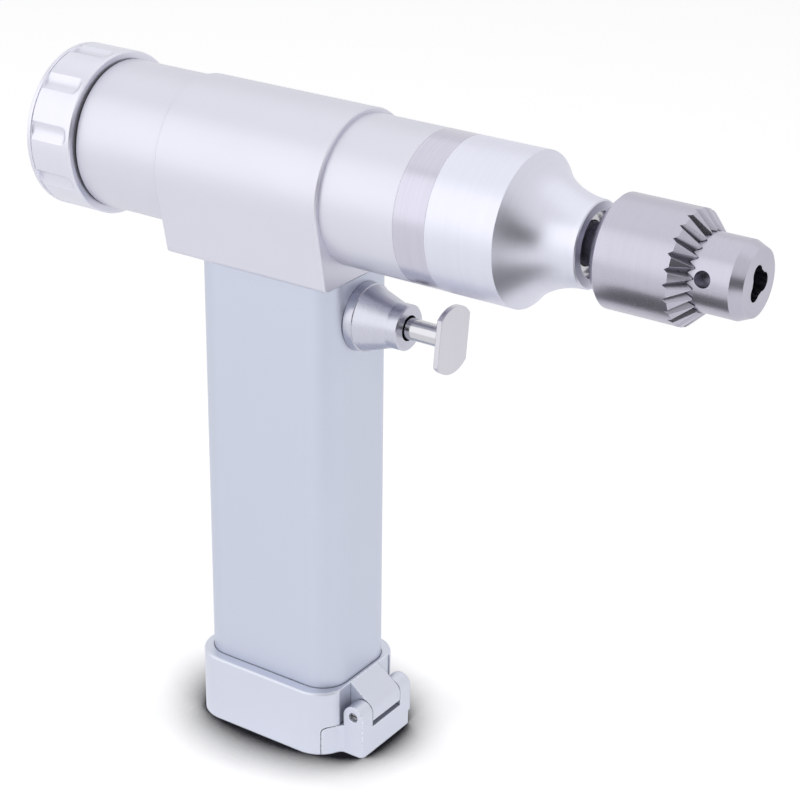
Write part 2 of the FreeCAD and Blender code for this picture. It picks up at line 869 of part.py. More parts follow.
def make_ring_gear(height):
    """The steel band of the barrel, with the internal teeth that the planets run in."""
    module = S.gear_module.value
    pitch = module * S.ring_teeth.value / 2
    front = x_ring_front.value
    back = x_ring_back.value
    spigot = S.ring_spigot.value
    band = disc(S.front_barrel_radius.value, back, front - back)
    band = band.fuse(disc(S.ring_spigot_radius.value, back - spigot, front - back + 2 * spigot))
    teeth = gear_wire(int(S.ring_teeth.value), -S.backlash.value, S.ring_root_radius.value, pitch - module)
    teeth.translate(vector(back - OVERSHOOT, 0, 0))
    band = band.cut(Part.Face(teeth).extrude(vector(front - back + 2 * OVERSHOOT, 0, 0)))
    bore = S.ring_spigot_bore.value
    cut_length = spigot + OVERSHOOT
    band = band.cut(disc(bore, back - cut_length, cut_length)).cut(disc(bore, front, cut_length))
    new_solid("ring_gear", band.removeSplitter(), z=height)


def make_mount_plate():
    barrel_ring("motor_mount_plate", x_mount_plate, x_mount_plate + S.mount_plate_thickness,
                S.motor_boss_radius, S.ring_spigot_radius)


# Nose, bearings and spindle

def make_nose():
    drop = S.front_barrel_radius - S.nose_tip_radius
    curve = (S.nose_cone * S.nose_cone + drop * drop) / (drop * 2)
    groove = x_front_bearing + S.circlip_thickness + S.shield_gap
    shelf = x_ring_front + S.ring_spigot
    barrel_part("nose_housing", [
        (x_ring_front, S.ring_spigot_radius),
        (x_ring_front, S.front_barrel_radius),
        (x_cone, S.front_barrel_radius),
        (x_tip - S.edge_break, S.nose_tip_radius, curve),
        (x_tip, S.nose_tip_radius - S.edge_break),
        (x_tip, S.front_bearing_radius),
        (groove, S.front_bearing_radius),
        (groove, S.front_bearing_radius + S.circlip_depth),
        (x_front_bearing, S.front_bearing_radius + S.circlip_depth),
        (x_front_bearing, S.front_bearing_radius),
        (x_front_bearing - S.front_bearing_width, S.front_bearing_radius),
        (x_front_bearing - S.front_bearing_width, S.nose_shaft_bore),
        (x_rear_bearing + S.rear_bearing_width, S.nose_shaft_bore),
        (x_rear_bearing + S.rear_bearing_width, S.rear_bearing_radius),
        (x_rear_bearing, S.rear_bearing_radius),
        (x_rear_bearing, S.nose_cavity),
        (shelf, S.nose_cavity),
        (shelf, S.ring_spigot_radius),
    ])


def make_bearing(name, back, width, bore, outer):
    """Outer race with its two shields, and the inner race that turns with the spindle."""
    lip = bore + S.bearing_race + S.shield_gap
    race = outer - S.bearing_race
    front = back + width
    barrel_part(name + "_outer_race", [
        (back, lip),
        (back, outer),
        (front, outer),
        (front, lip),
        (front - S.shield_thickness, lip),
        (front - S.shield_thickness, race),
        (back + S.shield_thickness, race),
        (back + S.shield_thickness, lip),
    ])
    barrel_ring(name + "_inner_race", back, front, bore, bore + S.bearing_race)


def make_circlip():
    body = new_body("front_circlip", z=S.axis_height, x=x_front_bearing)
    outer = S.front_bearing_radius + S.circlip_depth
    sketch = new_sketch(body, "YZ_Plane")
    draw_circle(sketch, 0, 0, outer)
    draw_circle(sketch, 0, 0, outer - S.circlip_width - S.circlip_depth)
    pad(body, sketch, S.circlip_thickness)
    gap = new_sketch(body, "YZ_Plane")
    draw(gap, rectangle(-S.circlip_width, S.circlip_width, -outer * 2, 0))
    pocket(body, gap)


def make_spindle():
    carrier_back = x_gears_end + S.carrier_gap
    carrier_front = carrier_back + S.carrier_thickness
    thread_end = x_front_bearing + S.chuck_thread_length
    barrel_part("spindle", [
        (carrier_back, 0),
        (carrier_back, S.carrier_radius),
        (carrier_front, S.carrier_radius),
        (carrier_front, S.spindle_shoulder),
        (x_rear_bearing, S.spindle_shoulder),
        (x_rear_bearing, S.rear_bearing_bore),
        (x_front_bearing - S.front_bearing_width, S.rear_bearing_bore),
        (x_front_bearing - S.front_bearing_width, S.front_bearing_bore),
        (x_front_bearing, S.front_bearing_bore),
        (x_front_bearing, S.chuck_thread_radius),
        (thread_end, S.chuck_thread_radius),
        (thread_end, 0),
    ])
    body = new_body("planet_pins", z=S.axis_height)
    sketch = new_sketch(body, "YZ_Plane", offset=x_gears - S.pin_recess)
    draw_circle(sketch, 0, S.planet_orbit, S.planet_pin_radius)
    pin = pad(body, sketch, S.gear_width + S.carrier_gap + S.pin_recess)
    around(body, pin, S.planets)


# Chuck

x_sleeve_back = x_tip + S.chuck_gap
x_sleeve_crest = x_sleeve_back + S.sleeve_length
x_sleeve_front = x_sleeve_crest + S.bevel_length
x_chuck_face = x_sleeve_back + S.chuck_length
x_jaw_apex = x_chuck_face + S.jaw_offset_at_face / tangent(S.jaw_angle)
x_nut_back = x_sleeve_back + S.nut_back
x_nut_front = x_nut_back + S.nut_width
x_bore_end = x_front_bearing + S.chuck_thread_length


def jaw_line(body, back, front, inner, outer):
    """A rectangle beside the jaw's slanted line, in a sketch tilted to lie along it."""
    sketch = new_sketch(body, "XZ_Plane")
    sketch.AttachmentOffset = FreeCAD.Placement(vector(x_jaw_apex.value, 0, 0),
                                                FreeCAD.Rotation(vector(0, 0, 1), -S.jaw_angle.value))
    sketch.setExpression("AttachmentOffset.Base.x", x_jaw_apex.text)
    sketch.setExpression("AttachmentOffset.Rotation.Angle", (-S.jaw_angle).text)
    draw(sketch, rectangle(back, front, inner, outer))
    return sketch


def make_chuck_body():
    back = x_sleeve_back + S.edge_break
    shoulder = S.sleeve_bore - S.sleeve_fit
    body = barrel_part("chuck_body", [
        (x_front_bearing, S.chuck_thread_radius),
        (x_front_bearing, S.chuck_hub_radius),
        (back, S.chuck_hub_radius),
        (back, shoulder),
        (x_nut_back, shoulder),
        (x_nut_back, S.nut_groove_radius),
        (x_nut_front, S.nut_groove_radius),
        (x_nut_front, S.chuck_nose_radius),
        (x_chuck_face - S.chuck_nose_chamfer, S.chuck_nose_radius),
        (x_chuck_face, S.chuck_face_radius),
        (x_chuck_face, S.chuck_bore),
        (x_bore_end, S.chuck_bore),
        (x_bore_end, S.chuck_thread_radius),
    ], turn=S.chuck_turn)
    channel_back = -(x_jaw_apex - back) / cosine(S.jaw_angle) - S.jaw_radius
    channel = jaw_line(body, channel_back, ZERO, ZERO, S.jaw_radius + S.jaw_fit)
    around(body, spin(body, channel, cut=True), S.jaws)
    key = new_sketch(body, "XY_Plane", offset=-(S.chuck_nose_radius - S.key_hole_depth))
    draw_circle(key, x_chuck_face - S.key_hole_back, 0, S.key_hole_radius)
    around(body, pocket(body, key, S.key_hole_depth * 2), S.jaws)


def make_chuck_sleeve():
    chamfer = S.sleeve_chamfer
    body = barrel_part("chuck_sleeve", [
        (x_sleeve_back, S.sleeve_bore),
        (x_sleeve_back, S.sleeve_radius - chamfer),
        (x_sleeve_back + chamfer, S.sleeve_radius),
        (x_sleeve_crest, S.sleeve_radius),
        (x_sleeve_front, S.bevel_inner_radius),
        (x_sleeve_front, S.sleeve_nose_bore),
        (x_nut_front + S.shield_gap, S.sleeve_nose_bore),
        (x_nut_front + S.shield_gap, S.sleeve_bore),
    ])
    valley = x_sleeve_crest - S.tooth_back
    tilt = FreeCAD.Rotation(vector(1, 0, 0), S.tooth_slope.value)
    notch = new_sketch(body, "YZ_Plane", tilt=tilt)
    notch.AttachmentOffset = FreeCAD.Placement(vector(0, S.sleeve_radius.value, valley.value), tilt)
    notch.setExpression("AttachmentOffset.Base.y", S.sleeve_radius.text)
    notch.setExpression("AttachmentOffset.Base.z", valley.text)
    notch.setExpression("AttachmentOffset.Rotation.Angle", S.tooth_slope.text)
    half = S.tooth_depth * tangent(S.tooth_half_angle)
    draw(notch, [(0, 0), (half, S.tooth_depth), (-half, S.tooth_depth)])
    reach = (x_sleeve_front - valley) / cosine(S.tooth_slope)
    around(body, pocket(body, notch, reach, reverse=True), S.chuck_teeth)


def nut_bore_at(place):
    """The nut's coned bore just clears the cut back of each jaw."""
    line = (x_jaw_apex - place) * tangent(S.jaw_angle)
    back = (S.jaw_radius - S.jaw_back_cut) / cosine(S.jaw_angle)
    return line + back + S.nut_cone_gap


def make_chuck_nut():
    body = barrel_part("chuck_nut", [
        (x_nut_back + S.shield_gap, nut_bore_at(x_nut_back + S.shield_gap)),
        (x_nut_back + S.shield_gap, S.sleeve_bore),
        (x_nut_front - S.shield_gap, S.sleeve_bore),
        (x_nut_front - S.shield_gap, nut_bore_at(x_nut_front - S.shield_gap)),
    ])
    split = new_sketch(body, "XY_Plane")
    draw(split, rectangle(x_nut_back, x_nut_front, -S.nut_split, S.nut_split))
    pocket(body, split)


def make_jaws():
    tip = x_chuck_face - S.jaw_setback
    tip_along = -(x_jaw_apex - tip) / cosine(S.jaw_angle)
    for number in range(int(S.jaws.value)):
        body = new_body("jaw_" + str(number + 1), z=S.axis_height)
        rod = jaw_line(body, -S.jaw_reach, tip_along + S.jaw_radius, ZERO, S.jaw_radius)
        spin(body, rod)
        grip = new_sketch(body, "YZ_Plane")
        wide = S.jaw_radius * 4
        slope = wide / tangent(as_size(HALF_TURN) / S.jaws)
        draw(grip, [(0, S.jaw_opening), (-wide, S.jaw_opening + slope), (-wide, -wide),
                    (wide, -wide), (wide, S.jaw_opening + slope)])
        pocket(body, grip)
        end = new_sketch(body, "XZ_Plane")
        draw(end, rectangle(tip, x_jaw_apex, ZERO, S.sleeve_radius))
        pocket(body, end)
        relief = jaw_line(body, -S.jaw_reach * 2, tip_along - S.jaw_shoulder,
                          S.jaw_radius - S.jaw_back_cut, S.jaw_radius * 2)
        pocket(body, relief)
        angle = S.chuck_turn.value + FULL_TURN * number / S.jaws.value
        place = FreeCAD.Rotation(vector(1, 0, 0), angle)
        body.Placement = FreeCAD.Placement(body.Placement.Base, place)


# Motor

x_motor_front = x_mount_plate
x_motor_back = x_housing_back + S.motor_set_in
x_bell = x_motor_back - S.end_bell_length
x_bell_inside = x_motor_back + S.motor_wall
x_commutator_back = x_bell_inside + S.commutator_gap
x_commutator_front = x_commutator_back + S.commutator_length
x_core_back = x_commutator_front + S.winding_length
x_magnet_front = x_motor_front - S.motor_front_wall - S.winding_length
x_core_front = x_magnet_front - S.rotor_gap


def make_motor_shell():
    inner = S.motor_radius - S.motor_wall
    barrel_part("motor_can", [
        (x_motor_back, inner),
        (x_motor_back, S.motor_radius),
        (x_motor_front, S.motor_radius),
        (x_motor_front, S.motor_boss_radius),
        (x_motor_front + S.motor_boss_length, S.motor_boss_radius),
        (x_motor_front + S.motor_boss_length, S.bush_radius),
        (x_motor_front - S.motor_front_wall, S.bush_radius),
        (x_motor_front - S.motor_front_wall, inner),
    ])
    front_bush = x_motor_front + S.motor_boss_length - S.bush_length
    bush_bore = S.shaft_radius + S.shaft_fit
    bushes = new_body("motor_bushes", z=S.axis_height)
    pair = new_sketch(bushes, "XZ_Plane")
    draw(pair, rectangle(front_bush, front_bush + S.bush_length, bush_bore, S.bush_radius))
    draw(pair, rectangle(x_bell, x_bell + S.bush_length, bush_bore, S.bush_radius))
    spin(bushes, pair)
    barrel_part("motor_end_bell", [
        (x_bell, S.bush_radius),
        (x_bell, S.motor_radius - S.bush_radius),
        (x_motor_back - S.motor_front_wall, S.motor_radius),
        (x_motor_back, S.motor_radius),
        (x_motor_back, S.motor_radius - S.motor_wall),
        (x_bell_inside, S.motor_radius - S.motor_wall),
        (x_bell_inside, S.bush_radius),
    ])


def make_magnets():
    outer = S.motor_radius - S.motor_wall
    inner = outer - S.magnet_thickness
    back = x_core_back - S.magnet_overhang
    body = new_body("motor_magnets", z=S.axis_height)
    sketch = new_sketch(body, "YZ_Plane", offset=back)
    span = S.magnet_span / 2
    across = cosine(span)
    up = sine(span)
    draw(sketch, [
        (inner * across, -inner * up, -inner),
        (outer * across, -outer * up),
        (outer, 0, outer),
        (outer * across, outer * up, outer),
        (inner * across, inner * up),
        (inner, 0, -inner),
    ])
    magnet = pad(body, sketch, x_magnet_front - back)
    mirrored(body, magnet, "XZ_Plane")


def make_rotor():
    core_radius = S.motor_radius - S.motor_wall - S.magnet_thickness - S.air_gap
    barrel_ring("rotor_shaft", x_bell - S.shaft_end, x_gears_end + S.shaft_end, ZERO, S.shaft_radius)
    core = new_body("rotor_core", z=S.axis_height, x=x_core_back)
    sketch = new_sketch(core, "YZ_Plane")
    draw_circle(sketch, 0, 0, core_radius)
    draw_circle(sketch, 0, 0, S.shaft_radius)
    pad(core, sketch, x_core_front - x_core_back)
    slot = new_sketch(core, "YZ_Plane")
    half = S.slot_width / 2
    draw(slot, rectangle(-half, half, core_radius - S.slot_depth, core_radius * 2))
    around(core, pocket(core, slot), S.core_slots)
    windings = new_body("rotor_windings", z=S.axis_height)
    coil = core_radius - S.winding_step
    heads = new_sketch(windings, "XZ_Plane")
    draw(heads, rectangle(x_core_front, x_core_front + S.winding_length, S.shaft_radius, coil))
    draw(heads, rectangle(x_commutator_front, x_core_back, S.shaft_radius, coil))
    spin(windings, heads)
    barrel_ring("commutator", x_commutator_back, x_commutator_front, S.shaft_radius, S.commutator_radius)


def make_brushes():
    brushes = new_body("motor_brushes", z=S.axis_height)
    middle = (x_commutator_front + x_commutator_back) / 2
    near_end = S.commutator_radius + S.brush_gap
    block = new_sketch(brushes, "XZ_Plane")
    half = S.brush_width / 2
    draw(block, rectangle(middle - half, middle + half, near_end, near_end + S.brush_length))
    brush = pad(brushes, block, S.brush_width, middle=True)
    mirrored(brushes, brush, "XY_Plane")
    holder = new_body("brush_holder", z=S.axis_height)
    plate = new_sketch(holder, "YZ_Plane", offset=x_bell_inside)
    draw_circle(plate, 0, 0, S.motor_radius - S.motor_wall)
    draw_circle(plate, 0, 0, S.commutator_radius + S.air_gap)
    pad(holder, plate, middle + half + S.holder_edge - x_bell_inside)
    for reverse in (False, True):
        guide = new_sketch(holder, "XZ_Plane")
        draw(guide, rectangle(middle - half, middle + half, -S.motor_radius * 2, S.motor_radius * 2))
        pocket(holder, guide, S.brush_width / 2, reverse=reverse)


def make_control_board():
    front = x_housing_back - S.board_seat
    barrel_ring("control_board", front - S.board_thickness, front, ZERO, S.neck_bore)
    parts = new_body("board_capacitors", x=front, z=S.axis_height)
    sketch = new_sketch(parts, "YZ_Plane")
    draw_circle(sketch, 0, S.barrel_bore / 2, S.capacitor_radius)
    capacitor = pad(parts, sketch, S.capacitor_length)
    mirrored(parts, capacitor, "XY_Plane")


# Handle and trigger

def handle_ring(body, sketch, half_length, half_width, corner, wall):
    draw_rounded(sketch, half_length, half_width, corner)
    draw_rounded(sketch, half_length - wall, half_width - wall, corner - wall)


def make_handle():
    top = S.axis_height - S.housing_depth
    body = new_body("handle_tube")
    sketch = new_sketch(body, "XY_Plane", offset=S.handle_foot)
    handle_ring(body, sketch, S.handle_half_length, S.handle_half_width, S.handle_corner, S.handle_wall)
    pad(body, sketch, top - S.handle_foot)
    hole = new_sketch(body, "YZ_Plane", offset=S.handle_half_length + S.handle_wall)
    draw_circle(hole, 0, S.trigger_height, S.trigger_spigot_radius + S.pin_fit)
    pocket(body, hole, S.handle_wall * 4)
    liner = new_body("handle_liner")
    sketch = new_sketch(liner, "XY_Plane", offset=S.handle_foot)
    draw_rounded(sketch, S.handle_half_length - S.handle_wall, S.handle_half_width - S.handle_wall,
                 S.handle_corner - S.handle_wall)
    draw_rounded(sketch, S.throat_half_length, S.throat_half_width, S.battery_corner)
    pad(liner, sketch, S.liner_height)


x_trigger_back = S.handle_half_length - S.trigger_spigot_length
x_trigger_front = S.handle_half_length + S.trigger_housing_length
x_seal_front = x_trigger_front - S.trigger_mouth_depth
x_guide_front = x_seal_front - S.seal_length
x_guide_back = x_guide_front - S.guide_length
x_plate_back = x_trigger_front + S.plunger_out
x_clip_front = x_guide_back
x_plunger_back = x_clip_front - S.clip_thickness - S.plunger_tail
x_stem_end = x_plunger_back - S.stem_length


def trigger_part(label, points):
    return turned(label, points, z=S.trigger_height)


def make_trigger_housing():
    cone_back = S.handle_half_length + S.trigger_flange
    cone_front = x_trigger_front - S.trigger_nose_length
    seat = S.guide_radius
    trigger_part("trigger_housing", [
        (x_trigger_back, S.trigger_cavity_radius),
        (x_trigger_back, S.trigger_spigot_radius),
        (S.handle_half_length, S.trigger_spigot_radius),
        (S.handle_half_length, S.trigger_flange_radius),
        (cone_back, S.trigger_flange_radius),
        (cone_back, S.trigger_flange_radius - S.edge_break),
        (cone_front, S.trigger_nose_radius),
        (x_trigger_front - S.edge_break, S.trigger_nose_radius),
        (x_trigger_front, S.trigger_nose_radius - S.edge_break),
        (x_trigger_front, S.trigger_mouth_radius),
        (x_seal_front, S.trigger_mouth_radius),
        (x_seal_front, seat),
        (x_guide_back, seat),
        (x_guide_back, S.trigger_cavity_radius),
    ])
    bore = S.plunger_radius + S.plunger_fit
    ring = [(x_guide_back, bore), (x_guide_back, seat), (x_guide_front, seat), (x_guide_front, bore)]
    trigger_part("trigger_guide", ring)
    trigger_part("trigger_seal", rectangle(x_guide_front, x_seal_front, bore + S.plunger_fit, seat))


def make_trigger():
    clip_back = x_clip_front - S.clip_thickness
    trigger_part("trigger_plunger", [
        (x_stem_end, 0),
        (x_stem_end, S.plunger_stem_radius),
        (x_plunger_back, S.plunger_stem_radius),
        (x_plunger_back, S.plunger_radius),
        (clip_back, S.plunger_radius),
        (clip_back, S.clip_groove_radius),
        (x_clip_front, S.clip_groove_radius),
        (x_clip_front, S.plunger_radius),
        (x_plate_back, S.plunger_radius),
        (x_plate_back, 0),
    ])
    trigger_part("plunger_clip", rectangle(clip_back, x_clip_front, S.clip_groove_radius, S.clip_radius))
    plate = new_body("trigger_plate", x=x_plate_back, z=S.trigger_height, turn=-S.plate_turn)
    high = root(S.plate_radius * S.plate_radius - S.plate_half_width * S.plate_half_width)
    sketch = new_sketch(plate, "YZ_Plane")
    draw(sketch, [
        (S.plate_half_width, -high, S.plate_radius),
        (S.plate_half_width, high),
        (-S.plate_half_width, high, S.plate_radius),
        (-S.plate_half_width, -high),
    ])
    pad(plate, sketch, S.plate_thickness)
    dress(plate, "Chamfer", S.edge_break / 2, lambda edge: near(edge.BoundBox.XLength, 0))


def make_trigger_spring():
    """The return spring, whose round wire is drawn with eight flats."""
    length = x_plunger_back - S.switch_front - S.spring_wire * 4
    coil = doc.addObject("Part::Helix", "trigger_coil")
    coil.Style = 0
    coil.setExpression("Radius", S.spring_radius.text)
    coil.setExpression("Height", length.text)
    coil.setExpression("Pitch", (length / S.spring_turns).text)
    wire = doc.addObject("Part::RegularPolygon", "trigger_wire")
    wire.Polygon = int(S.spring_wire_sides.value)
    wire.setExpression("Circumradius", S.spring_wire.text)
    upright = FreeCAD.Rotation(vector(1, 0, 0), RIGHT_ANGLE)
    wire.Placement = FreeCAD.Placement(vector(S.spring_radius.value, 0, 0), upright)
    wire.setExpression("Placement.Base.x", S.spring_radius.text)
    doc.recompute()
    spring = doc.addObject("Part::Sweep", "trigger_spring")
    spring.Label = "trigger_spring"
    spring.Sections = [wire]
    spring.Spine = (coil, ["Edge1"])
    spring.Solid = True
    spring.Frenet = True
    start = S.switch_front + S.spring_wire * 2
    spring.Placement = FreeCAD.Placement(vector(start.value, 0, S.trigger_height.value),
                                         FreeCAD.Rotation(vector(0, 1, 0), RIGHT_ANGLE))
    spring.setExpression("Placement.Base.x", start.text)
    spring.setExpression("Placement.Base.z", S.trigger_height.text)
    doc.recompute()
    pieces.append(spring)


def make_switch():
    body = new_body("speed_switch", x=S.switch_front, z=S.trigger_height)
    half_width = S.handle_half_width - S.handle_wall - S.pin_fit
    sketch = new_sketch(body, "XZ_Plane")
    draw(sketch, rectangle(-S.switch_length, ZERO, -S.switch_below, S.switch_above))
    pad(body, sketch, half_width * 2 - S.socket_wall * 2, middle=True)
    bore = new_sketch(body, "YZ_Plane")
    draw_circle(bore, 0, 0, S.switch_bore)
    stem_inside = S.switch_front - x_stem_end
    pocket(body, bore, stem_inside + S.trigger_travel + S.switch_bore_room)
    ledge = new_body("switch_bracket", x=S.switch_front, z=S.trigger_height - S.switch_below)
    sketch = new_sketch(ledge, "XY_Plane")
    draw(sketch, rectangle(-S.switch_length, ZERO, -half_width, half_width))
    pad(ledge, sketch, S.handle_wall, reverse=True)


# Battery and contacts

def make_battery():
    half_length = S.battery_half_length
    half_width = S.battery_half_width
    corner = S.battery_corner - S.battery_clearance
    case = new_body("battery_case", z=S.battery_foot)
    sketch = new_sketch(case, "XY_Plane")
    draw_rounded(sketch, half_length, half_width, corner)
    pad(case, sketch, S.battery_height)
    hollow = new_sketch(case, "XY_Plane", offset=S.battery_wall)
    wall = S.battery_wall
    draw_rounded(hollow, half_length - wall, half_width - wall, corner - wall)
    pocket(case, hollow, S.battery_height - wall * 2, reverse=True)
    cells = new_body("battery_cells", z=S.battery_foot + S.battery_wall + S.cell_gap)
    sketch = new_sketch(cells, "XY_Plane")
    draw_circle(sketch, S.cell_radius + S.cell_gap / 2, 0, S.cell_radius)
    draw_circle(sketch, -S.cell_radius - S.cell_gap / 2, 0, S.cell_radius)
    pad(cells, sketch, S.cell_height)
    upper = new_sketch(cells, "XY_Plane", offset=S.cell_height + S.cell_gap)
    draw_circle(upper, S.cell_radius + S.cell_gap / 2, 0, S.cell_radius)
    draw_circle(upper, -S.cell_radius - S.cell_gap / 2, 0, S.cell_radius)
    pad(cells, upper, S.cell_height)
    terminals = new_body("battery_terminals", z=S.battery_top)
    sketch = new_sketch(terminals, "XY_Plane")
    for place in (-S.terminal_spacing, ZERO, S.terminal_spacing):
        draw_circle(sketch, place, 0, S.terminal_radius)
    pad(terminals, sketch, S.terminal_height)


def make_contacts():
    block = new_body("contact_block", z=S.contact_block_foot)
    sketch = new_sketch(block, "XY_Plane")
    draw_rounded(sketch, S.handle_half_length - S.handle_wall - S.pin_fit,
                 S.handle_half_width - S.handle_wall - S.pin_fit, S.handle_corner - S.handle_wall)
    pad(block, sketch, S.contact_block_height)
    pins = new_body("contact_pins", z=S.contact_block_foot)
    sketch = new_sketch(pins, "XY_Plane")
    for place in (-S.terminal_spacing, ZERO, S.terminal_spacing):
        draw_circle(sketch, place, 0, S.contact_pin_radius)
    pad(pins, sketch, S.contact_pin_length - S.pin_fit, reverse=True)


# Base collar, lid and hinge

def collar_front_y(place):
    """Half the collar's width where its round front corner crosses a place along X."""
    centre_x = S.collar_half_length - S.collar_corner
    centre_y = S.collar_half_width - S.collar_corner
    reach = place - centre_x
    return centre_y + root(S.collar_corner * S.collar_corner - reach * reach)


def make_collar():
    body = new_body("base_collar")
    sketch = new_sketch(body, "XY_Plane")
    draw_rounded(sketch, S.collar_half_length, S.collar_half_width, S.collar_corner)
    pad(body, sketch, S.collar_height)
    top = S.collar_height.value
    dress(body, "Fillet", S.collar_edge, lambda edge: near(edge.BoundBox.ZMin, top))
    seat = new_sketch(body, "XY_Plane", offset=S.handle_foot)
    gap = S.collar_seat_gap
    draw_rounded(seat, S.handle_half_length + gap, S.handle_half_width + gap, S.handle_corner + gap)
    pocket(body, seat, S.collar_height, reverse=True)
    throat = new_sketch(body, "XY_Plane")
    draw_rounded(throat, S.throat_half_length, S.throat_half_width, S.battery_corner)
    pocket(body, throat)
    cut_lid_pocket(body)
    notch = new_sketch(body, "XZ_Plane")
    notch_top = S.lid_flange_height + S.lid_seam_gap
    seam_corner = S.lid_seam_corner
    draw(notch, [
        (S.lid_seam, -seam_corner),
        (S.hinge_x * 2, -seam_corner),
        (S.hinge_x * 2, notch_top),
        (S.lid_seam + seam_corner, notch_top),
        (S.lid_seam, notch_top - seam_corner, seam_corner),
    ])
    pocket(body, notch)
    recess = new_sketch(body, "XY_Plane", offset=S.hinge_slot_floor)
    side = S.block_half_width + S.ear_recess_side_gap
    draw(recess, rectangle(S.ear_recess_floor, S.hinge_x * 2, -side, side))
    pocket(body, recess, S.collar_height, reverse=True)
    add_knuckle(body)


def cut_lid_pocket(body):
    """The shallow pocket for the lid's plate, open at the front, where the plate swings forward."""
    corner = S.battery_corner + S.socket_wall
    flat_back = S.lid_pocket_half_length - corner
    flat_side = S.lid_pocket_half_width - corner
    well = new_sketch(body, "XY_Plane")
    draw(well, [
        (S.hinge_x, -S.lid_pocket_half_width),
        (S.hinge_x, S.lid_pocket_half_width),
        (-flat_back, S.lid_pocket_half_width),
        (-S.lid_pocket_half_length, flat_side, corner),
        (-S.lid_pocket_half_length, -flat_side),
        (-flat_back, -S.lid_pocket_half_width, corner),
    ])
    pocket(body, well, S.lid_pocket_depth, reverse=True)


def add_knuckle(body):
    radius = S.ear_radius
    lean = as_size(RIGHT_ANGLE) - S.knuckle_slope
    touch_x = S.hinge_x + radius * cosine(lean)
    touch_z = S.hinge_height + radius * sine(lean)
    wall = S.ear_recess_floor - S.edge_break
    wall_z = touch_z + (touch_x - wall) * tangent(S.knuckle_slope)
    sketch = new_sketch(body, "XZ_Plane")
    draw(sketch, [
        (wall, S.hinge_slot_top),
        (S.hinge_x + radius, S.hinge_slot_top),
        (S.hinge_x + radius, S.hinge_height),
        (touch_x, touch_z, radius),
        (wall, wall_z),
    ])
    pad(body, sketch, S.knuckle_half_width * 2, middle=True)
    hole = new_sketch(body, "XZ_Plane")
    draw_circle(hole, S.hinge_x, S.hinge_height, S.hinge_pin_radius + S.hinge_pin_fit)
    pocket(body, hole)


def lid_front_outline():
    """The front of the lid seen from above: round collar corners that blend into the hinge block."""
    corner = S.collar_corner
    blend = S.block_side_blend
    centre_x = S.collar_half_length - corner
    centre_y = S.collar_half_width - corner
    side = S.block_half_width
    rise = side + blend - centre_y
    reach = root((corner + blend) * (corner + blend) - rise * rise)
    share = corner / (corner + blend)
    seam = S.lid_seam + S.lid_seam_gap
    wide = collar_front_y(seam)
    meet = (centre_x + reach * share, centre_y + rise * share)
    leave = centre_x + reach
    front = S.hinge_x + S.ear_radius
    nose = S.block_front_corner
    return [
        (seam, -wide),
        (meet[0], -meet[1], corner),
        (leave, -side, -blend),
        (front - nose, -side),
        (front, nose - side, nose),
        (front, side - nose),
        (front - nose, side, nose),
        (leave, side),
        (meet[0], meet[1], -blend),
        (seam, wide, corner),
    ]


def make_lid():
    body = new_body("battery_lid")
    plate = new_sketch(body, "XY_Plane")
    gap = S.lid_clearance
    draw_rounded(plate, S.lid_pocket_half_length - gap, S.lid_pocket_half_width - gap,
                 S.battery_corner + S.socket_wall - gap)
    pad(body, plate, S.lid_plate)
    front = new_sketch(body, "XY_Plane")
    draw(front, lid_front_outline())
    pad(body, front, S.lid_flange_height)
    seam = S.lid_seam.value + S.lid_seam_gap.value
    top = S.lid_flange_height.value
    dress(body, "Fillet", S.lid_seam_corner,
          lambda edge: is_straight(edge) and near(edge.BoundBox.XMax, seam)
          and near(edge.BoundBox.ZMin, top) and edge.BoundBox.YLength > 1)
    add_ears(body)
    catch = new_sketch(body, "YZ_Plane", offset=-S.lid_pocket_half_length)
    draw_circle(catch, 0, S.catch_height, S.catch_radius + S.catch_fit)
    pocket(body, catch, S.catch_length + S.catch_spring_length + S.lid_clearance, reverse=True)


def add_ears(body):
    radius = S.ear_radius
    ears = new_sketch(body, "XZ_Plane")
    low = S.lid_flange_height / 2
    draw(ears, [
        (S.hinge_x - radius, low),
        (S.hinge_x + radius, low),
        (S.hinge_x + radius, S.hinge_height),
        (S.hinge_x, S.hinge_height + radius, radius),
        (S.hinge_x - radius, S.hinge_height, radius),
    ])
    pad(body, ears, S.block_half_width * 2, middle=True)
    slot = new_sketch(body, "YZ_Plane")
    half = S.knuckle_half_width + S.knuckle_side_gap
    draw(slot, rectangle(-half, half, S.hinge_slot_floor, S.hinge_height * 2))
    pocket(body, slot)
    hole = new_sketch(body, "XZ_Plane")
    draw_circle(hole, S.hinge_x, S.hinge_height, S.hinge_pin_radius)
    pocket(body, hole)
    recess = new_sketch(body, "XZ_Plane", offset=S.block_half_width - S.pin_recess)
    draw_circle(recess, S.hinge_x, S.hinge_height, S.pin_recess_radius)
    cut = pocket(body, recess, S.block_half_width, reverse=True)
    mirrored(body, cut, "XZ_Plane")


